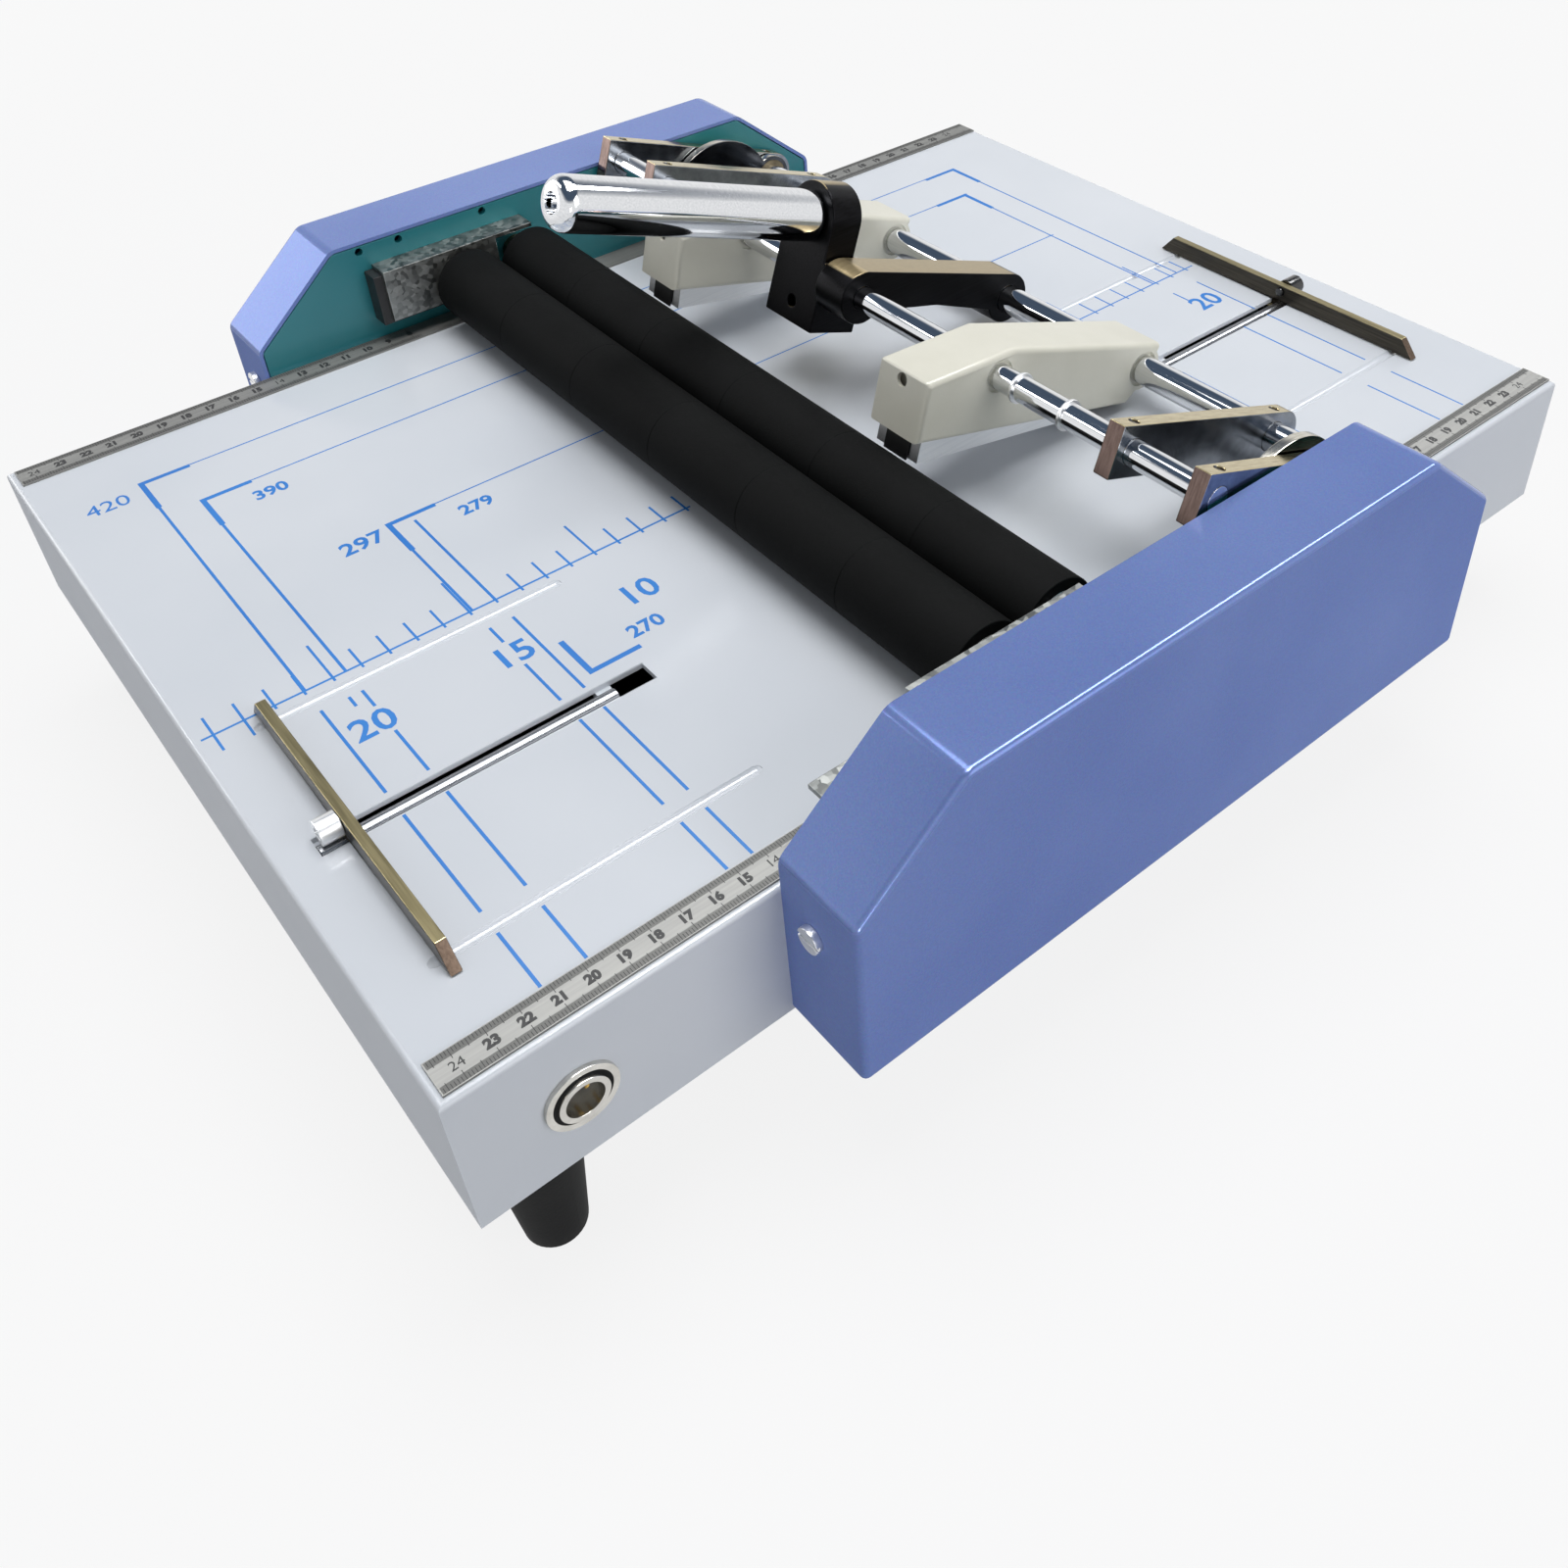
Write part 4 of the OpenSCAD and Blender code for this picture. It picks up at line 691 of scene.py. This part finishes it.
def bar(bm, x0, x1, y0, y1, z, thick=ink):
    """A flat bar between two corners given in millimetres, lying on height z in metres."""
    size = Matrix.Diagonal((abs(x1 - x0) * MM, abs(y1 - y0) * MM, thick, 1))
    middle = Matrix.Translation(((x0 + x1) / 2 * MM, (y0 + y1) / 2 * MM, z + thick / 2))
    bmesh.ops.create_cube(bm, size=1, matrix=middle @ size)


def number(bm, text, x, y, z, size, bold):
    """A printed number centred on x and y, in millimetres. One with a 4 stays thin: bold would fill it."""
    letters = bpy.data.curves.new("number", "FONT")
    letters.body, letters.size = text, size * MM
    letters.offset = 0 if "4" in text else bold * MM
    letters.align_x, letters.align_y, letters.resolution_u = "CENTER", "CENTER", 3
    letters.extrude = ink / 2
    holder = bpy.data.objects.new("number", letters)
    bpy.context.scene.collection.objects.link(holder)
    bpy.context.view_layer.update()
    flat = bpy.data.meshes.new_from_object(holder.evaluated_get(bpy.context.evaluated_depsgraph_get()))
    flat.transform(Matrix.Translation((x * MM, y * MM, z + ink / 2)))
    bm.from_mesh(flat)
    bpy.data.meshes.remove(flat)
    bpy.data.objects.remove(holder)


print("ink", ink, "m thick")

# %% [markdown]
# ## The print on the table
#
# A blue scale runs along the paper path, ticked every centimetre from the fold line. Corner marks show
# where sheets of common sizes lie, with thin lines from the corners across the table. The print stops
# short of the slots and of the pressed grooves, as the screen that printed it did. All places are in
# millimetres from the fold line and from the line of the scale.

# %% Scale along the paper path
fold_x, side_y = -5.0, -15.5
scale_wide, line_wide, mark_wide, rear_wide = 0.9, 1.1, 2.1, 0.7
tick_coats, line_coats, mark_coats = 1.1, 1.2, 1.3
front_scale, rear_scale = (-244, -58), (58, 225)
first_cm, shared_cm, last_cm = 6, 22, 24
short_tick, long_tick, tick_foot, end_foot = 10, 21, -2, -9
deck_print = bmesh.new()


def run(x0, x1, y0, y1, coats=1.0):
    """A printed bar on the table. Ink that crosses other ink has more coats, so no two tops are level."""
    bar(deck_print, x0 + fold_x, x1 + fold_x, y0 + side_y, y1 + side_y, deck_top, ink * coats)


def across(x, stretches, wide=line_wide, coats=line_coats):
    """A line across the table at x, printed in stretches of y."""
    for y0, y1 in stretches:
        run(x - wide / 2, x + wide / 2, y0, y1, coats)


run(*front_scale, -scale_wide / 2, scale_wide / 2)
run(*rear_scale, -rear_wide / 2, rear_wide / 2)
# Past shared_cm the ticks stand only in front of the rollers, and they reach below the scale.
for cm in range(first_cm, last_cm + 1):
    reach = long_tick if cm % 5 == 0 else short_tick
    across(-10 * cm, [(tick_foot if cm <= shared_cm else end_foot, reach)], scale_wide, tick_coats)
    if cm <= shared_cm:
        across(10 * cm, [(tick_foot, reach)], rear_wide, tick_coats)
across(-200, [(-18, -12.4)])
print(len(deck_print.faces), "faces of scale")

# %% Corner marks and lines across
mark_long, mark_tall, mark_shift = 19.2, 21.5, 0.1
thin_from, thin_to, thin_end = 0.8, 0.2, 200
slot_room = 2.6
slot_low, slot_high = (corner.x / MM - fold_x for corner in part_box("knife_blade"))
past_groove = [(-119.5, -71.5), (-152.5, -129)]
whole = [(-59.7, -12.3)] + past_groove
labelled = [(-22, -12.3), (-59.7, -36.6)] + past_groove


def corner_mark(x, y, way):
    """A corner of two thick bars. Its arm runs to the rear where way is 1, and to the front for -1."""
    post = x + way * mark_shift
    across(post, [(y - mark_tall, y)], mark_wide, mark_coats)
    run(post + way * mark_wide / 2, x + way * mark_long, y - mark_wide, y, mark_coats)


for x, y, below in ((-209.6, 156.6, whole), (-195.4, 129.5, labelled), (-148.9, 67, labelled)):
    corner_mark(x, y, 1)
    across(x, [(0, y - mark_tall)] + below)
    for x0, x1 in ((x + mark_long, slot_low - slot_room), (slot_high + slot_room, thin_end)):
        run(x0, x1, y - thin_from, y - thin_to, tick_coats)
across(-140, [(0, 62)] + whole)
across(-134.3, [(-53.4, -34.7)], mark_wide, mark_coats)
run(-135.3, -115, -55.5, -53.4, mark_coats)
for x, y, label_end in ((214.5, 156.5, -46), (198.5, 129.5, -21)):
    corner_mark(x, y, -1)
    across(x, [(0, y - mark_tall), (label_end, -12), (-105, -53), (-152.5, -118)], rear_wide)
across(150, [(-105, -60), (-152.5, -118)], rear_wide)
print(len(deck_print.faces), "faces with the corner marks")

# %% Numbers on the table
deck_weight = 0.25
for text, x, y, size in (("20", -199.5, -30, 15), ("15", -149.5, -30, 15), ("10", -100, -30, 15),
                         ("20", 204, -27, 15), ("420", -224, 149, 11), ("390", -173, 117, 9),
                         ("297", -161, 61.5, 11), ("279", -118, 55, 9), ("270", -108, -47, 9)):
    number(deck_print, text, x + fold_x, y + side_y, deck_top, size, deck_weight)
place(deck_print, "deck_print", "chassis", finishes["print_blue"])
print("numbers printed")

# %% [markdown]
# ## The rulers
#
# Steel rulers lie along both long edges. Their numbers count centimetres from the fold line, so they fall
# towards the middle from both ends. Darker bands along the edges carry a tick every millimetre. One function
# marks one stretch, because each ruler shows two of them, in front of the rollers and behind them.

# %% Ruler graduations
ruler_low, ruler_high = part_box("rulers")
ruler_wide, band_wide, edge_room, end_room = 12.0, 2.4, 0.3, 0.4
tick_wide, digit_size, digit_weight = 0.22, 4.4, 0.28
front_stop, rear_start = -80, 140
near_shift, far_shift = 2.4, 1.2
bands, ticks = bmesh.new(), bmesh.new()


def tick_length(i):
    return 3.4 if i % 10 == 0 else 2.8 if i % 5 == 0 else 1.7


def graduate(y, start, x0, x1):
    """Mark a ruler between x0 and x1. Its near edge is at y, and its millimetres count from start."""
    top, low, high = ruler_high.z, y + edge_room, y + ruler_wide - edge_room
    for y0 in (low, y + ruler_wide - band_wide - edge_room):
        bar(bands, x0, x1, y0, y0 + band_wide, top, ink / 2)
    for i in range(math.floor(x0 - start) + 1, math.floor(x1 - start)):
        left, right = i + start - tick_wide / 2, i + start + tick_wide / 2
        bar(ticks, left, right, low, low + tick_length(i), top)
        bar(ticks, left, right, high - tick_length(i), high, top)
    for cm in range(8, last_cm + 1):
        x = math.copysign(10 * cm, x0) + start
        if x0 + 4 < x < x1 - 2:
            number(ticks, str(cm), x, y + ruler_wide / 2, top, digit_size, digit_weight)


for y, shift in ((ruler_low.y / MM, near_shift), (ruler_high.y / MM - ruler_wide, far_shift)):
    graduate(y, fold_x + shift, ruler_low.x / MM + end_room, front_stop)
    graduate(y, fold_x + shift, rear_start, ruler_high.x / MM - end_room)
place(bands, "ruler_bands", "chassis", finishes["ruler_band"])
place(ticks, "ruler_ticks", "chassis", finishes["print_black"])
print("rulers marked")

# %% [markdown]
# ## The floor
#
# The floor is pale and catches the shadow. It glows for rays that the eye or a mirror follows, more so
# further away, so the ground reads as white without more light on the machine. A brighter lamp would whiten
# it as well, but it would wash out the paint.

# %% Shaders for light and for the eye
def seen_rays(tree):
    """1 for rays from the camera, from a mirror or through glass, and 0 for light."""
    path = tree.nodes.new("ShaderNodeLightPath")
    total = path.outputs["Is Camera Ray"]
    for kind in ("Is Glossy Ray", "Is Transmission Ray"):
        total = reckon(tree, "MAXIMUM", total, path.outputs[kind])
    return total


def show(tree, share, lit, seen, output):
    """Send two shaders to an output: lit for light and, by a share, seen for the eye."""
    both = tree.nodes.new("ShaderNodeMixShader")
    tree.links.new(share, both.inputs["Fac"])
    tree.links.new(lit.outputs[0], both.inputs[1])
    tree.links.new(seen.outputs[0], both.inputs[2])
    tree.links.new(both.outputs[0], tree.nodes[output].inputs["Surface"])


print("two shaders can share one surface")

# %% Floor
floor_reach, floor_grey = 6, (0.6, 0.6, 0.61, 1)
fade_reach, glow_share = (0.5, 2.5), (0.85, 1.0)
floor_mesh = bmesh.new()
bmesh.ops.create_grid(floor_mesh, x_segments=1, y_segments=1, size=floor_reach)
floor_data = bpy.data.meshes.new("floor")
floor_mesh.to_mesh(floor_data)
floor_mesh.free()
floor = bpy.data.objects.new("floor", floor_data)
bpy.context.scene.collection.objects.link(floor)
floor_finish = bpy.data.materials.new("pale_floor")
floor_finish.use_nodes = True
floor_data.materials.append(floor_finish)
tree = floor_finish.node_tree
glow = tree.nodes.new("ShaderNodeEmission")
matt = tree.nodes.new("ShaderNodeBsdfDiffuse")
matt.inputs["Color"].default_value = floor_grey
where = tree.nodes.new("ShaderNodeTexCoord")
distance = tree.nodes.new("ShaderNodeVectorMath")
distance.operation = "LENGTH"
tree.links.new(where.outputs["Object"], distance.inputs[0])
fade = span(tree, distance.outputs["Value"], glow_share, fade_reach)
show(tree, reckon(tree, "MULTIPLY", seen_rays(tree), fade), matt, glow, "Material Output")
print("floor laid")

# %% [markdown]
# ## Room and lamps
#
# The room is white near the ground and dark overhead, which gives the turned rods their stripes. One soft
# lamp hangs overhead and a weaker one fills in from the near side. Four strips light nothing by themselves
# and show only as reflections: they stand where the rounded edges and the far hood's slope mirror them to
# the camera. Highlights painted into the finishes would not move when the machine does.

# %% Room
room_light, room_strength = (0.95, 0.97, 1.0, 1), 0.36
room_low, room_high = (1, 1, 1, 1), (0.07, 0.1, 0.15, 1)
world = bpy.data.worlds.new("studio")
bpy.context.scene.world = world
world.use_nodes = True
tree = world.node_tree
soft = tree.nodes["Background"]
soft.inputs["Color"].default_value, soft.inputs["Strength"].default_value = room_light, room_strength
white = tree.nodes.new("ShaderNodeBackground")
where = tree.nodes.new("ShaderNodeTexCoord")
height = tree.nodes.new("ShaderNodeSeparateXYZ")
tree.links.new(where.outputs["Generated"], height.inputs["Vector"])
tree.links.new(tint(tree, height.outputs["Z"], room_low, room_high, 0.42, 0.62), white.inputs["Color"])
show(tree, seen_rays(tree), soft, white, "World Output")
bpy.context.scene.view_settings.view_transform = "Standard"
print("room of strength", room_strength)

# %% Lamps
def lamp(name, stand_at, aim, size, watts):
    """A rectangular lamp that looks at aim, with places and sizes in metres."""
    data = bpy.data.lights.new(name, "AREA")
    data.shape, data.energy = "RECTANGLE", watts
    data.size, data.size_y = size
    stand = bpy.data.objects.new(name, data)
    stand.location = stand_at
    stand.rotation_mode = "QUATERNION"
    stand.rotation_quaternion = (Vector(aim) - Vector(stand_at)).to_track_quat("-Z", "Y")
    bpy.context.scene.collection.objects.link(stand)
    return stand


lamp("soft_key", (0.05, 0.1, 1.6), (0, 0, 0.1), (1.0, 1.0), 17.5)
lamp("near_fill", (0.5, -1.7, 0.9), (0, 0, 0.1), (1.2, 1.2), 10)
strips = [
    lamp("strip_along", (0.7, -0.15, 1.5), (0.7, -0.15, 0), (2.0, 0.5), 47),
    lamp("strip_across", (-0.75, 1.2, 1.0), (-0.75, 1.2, 0), (0.2, 1.2), 12),
    lamp("strip_corner", (-1.28, -1.78, 0.36), (-0.14, -0.2, 0.1), (0.5, 0.5), 12),
    lamp("strip_far", (-0.8, 1.48, 0.44), (-0.12, 0.2, 0.11), (0.8, 0.6), 3.8),
]
for strip in strips:
    strip.visible_diffuse = False
print(len(strips), "of the lamps show only in reflections")
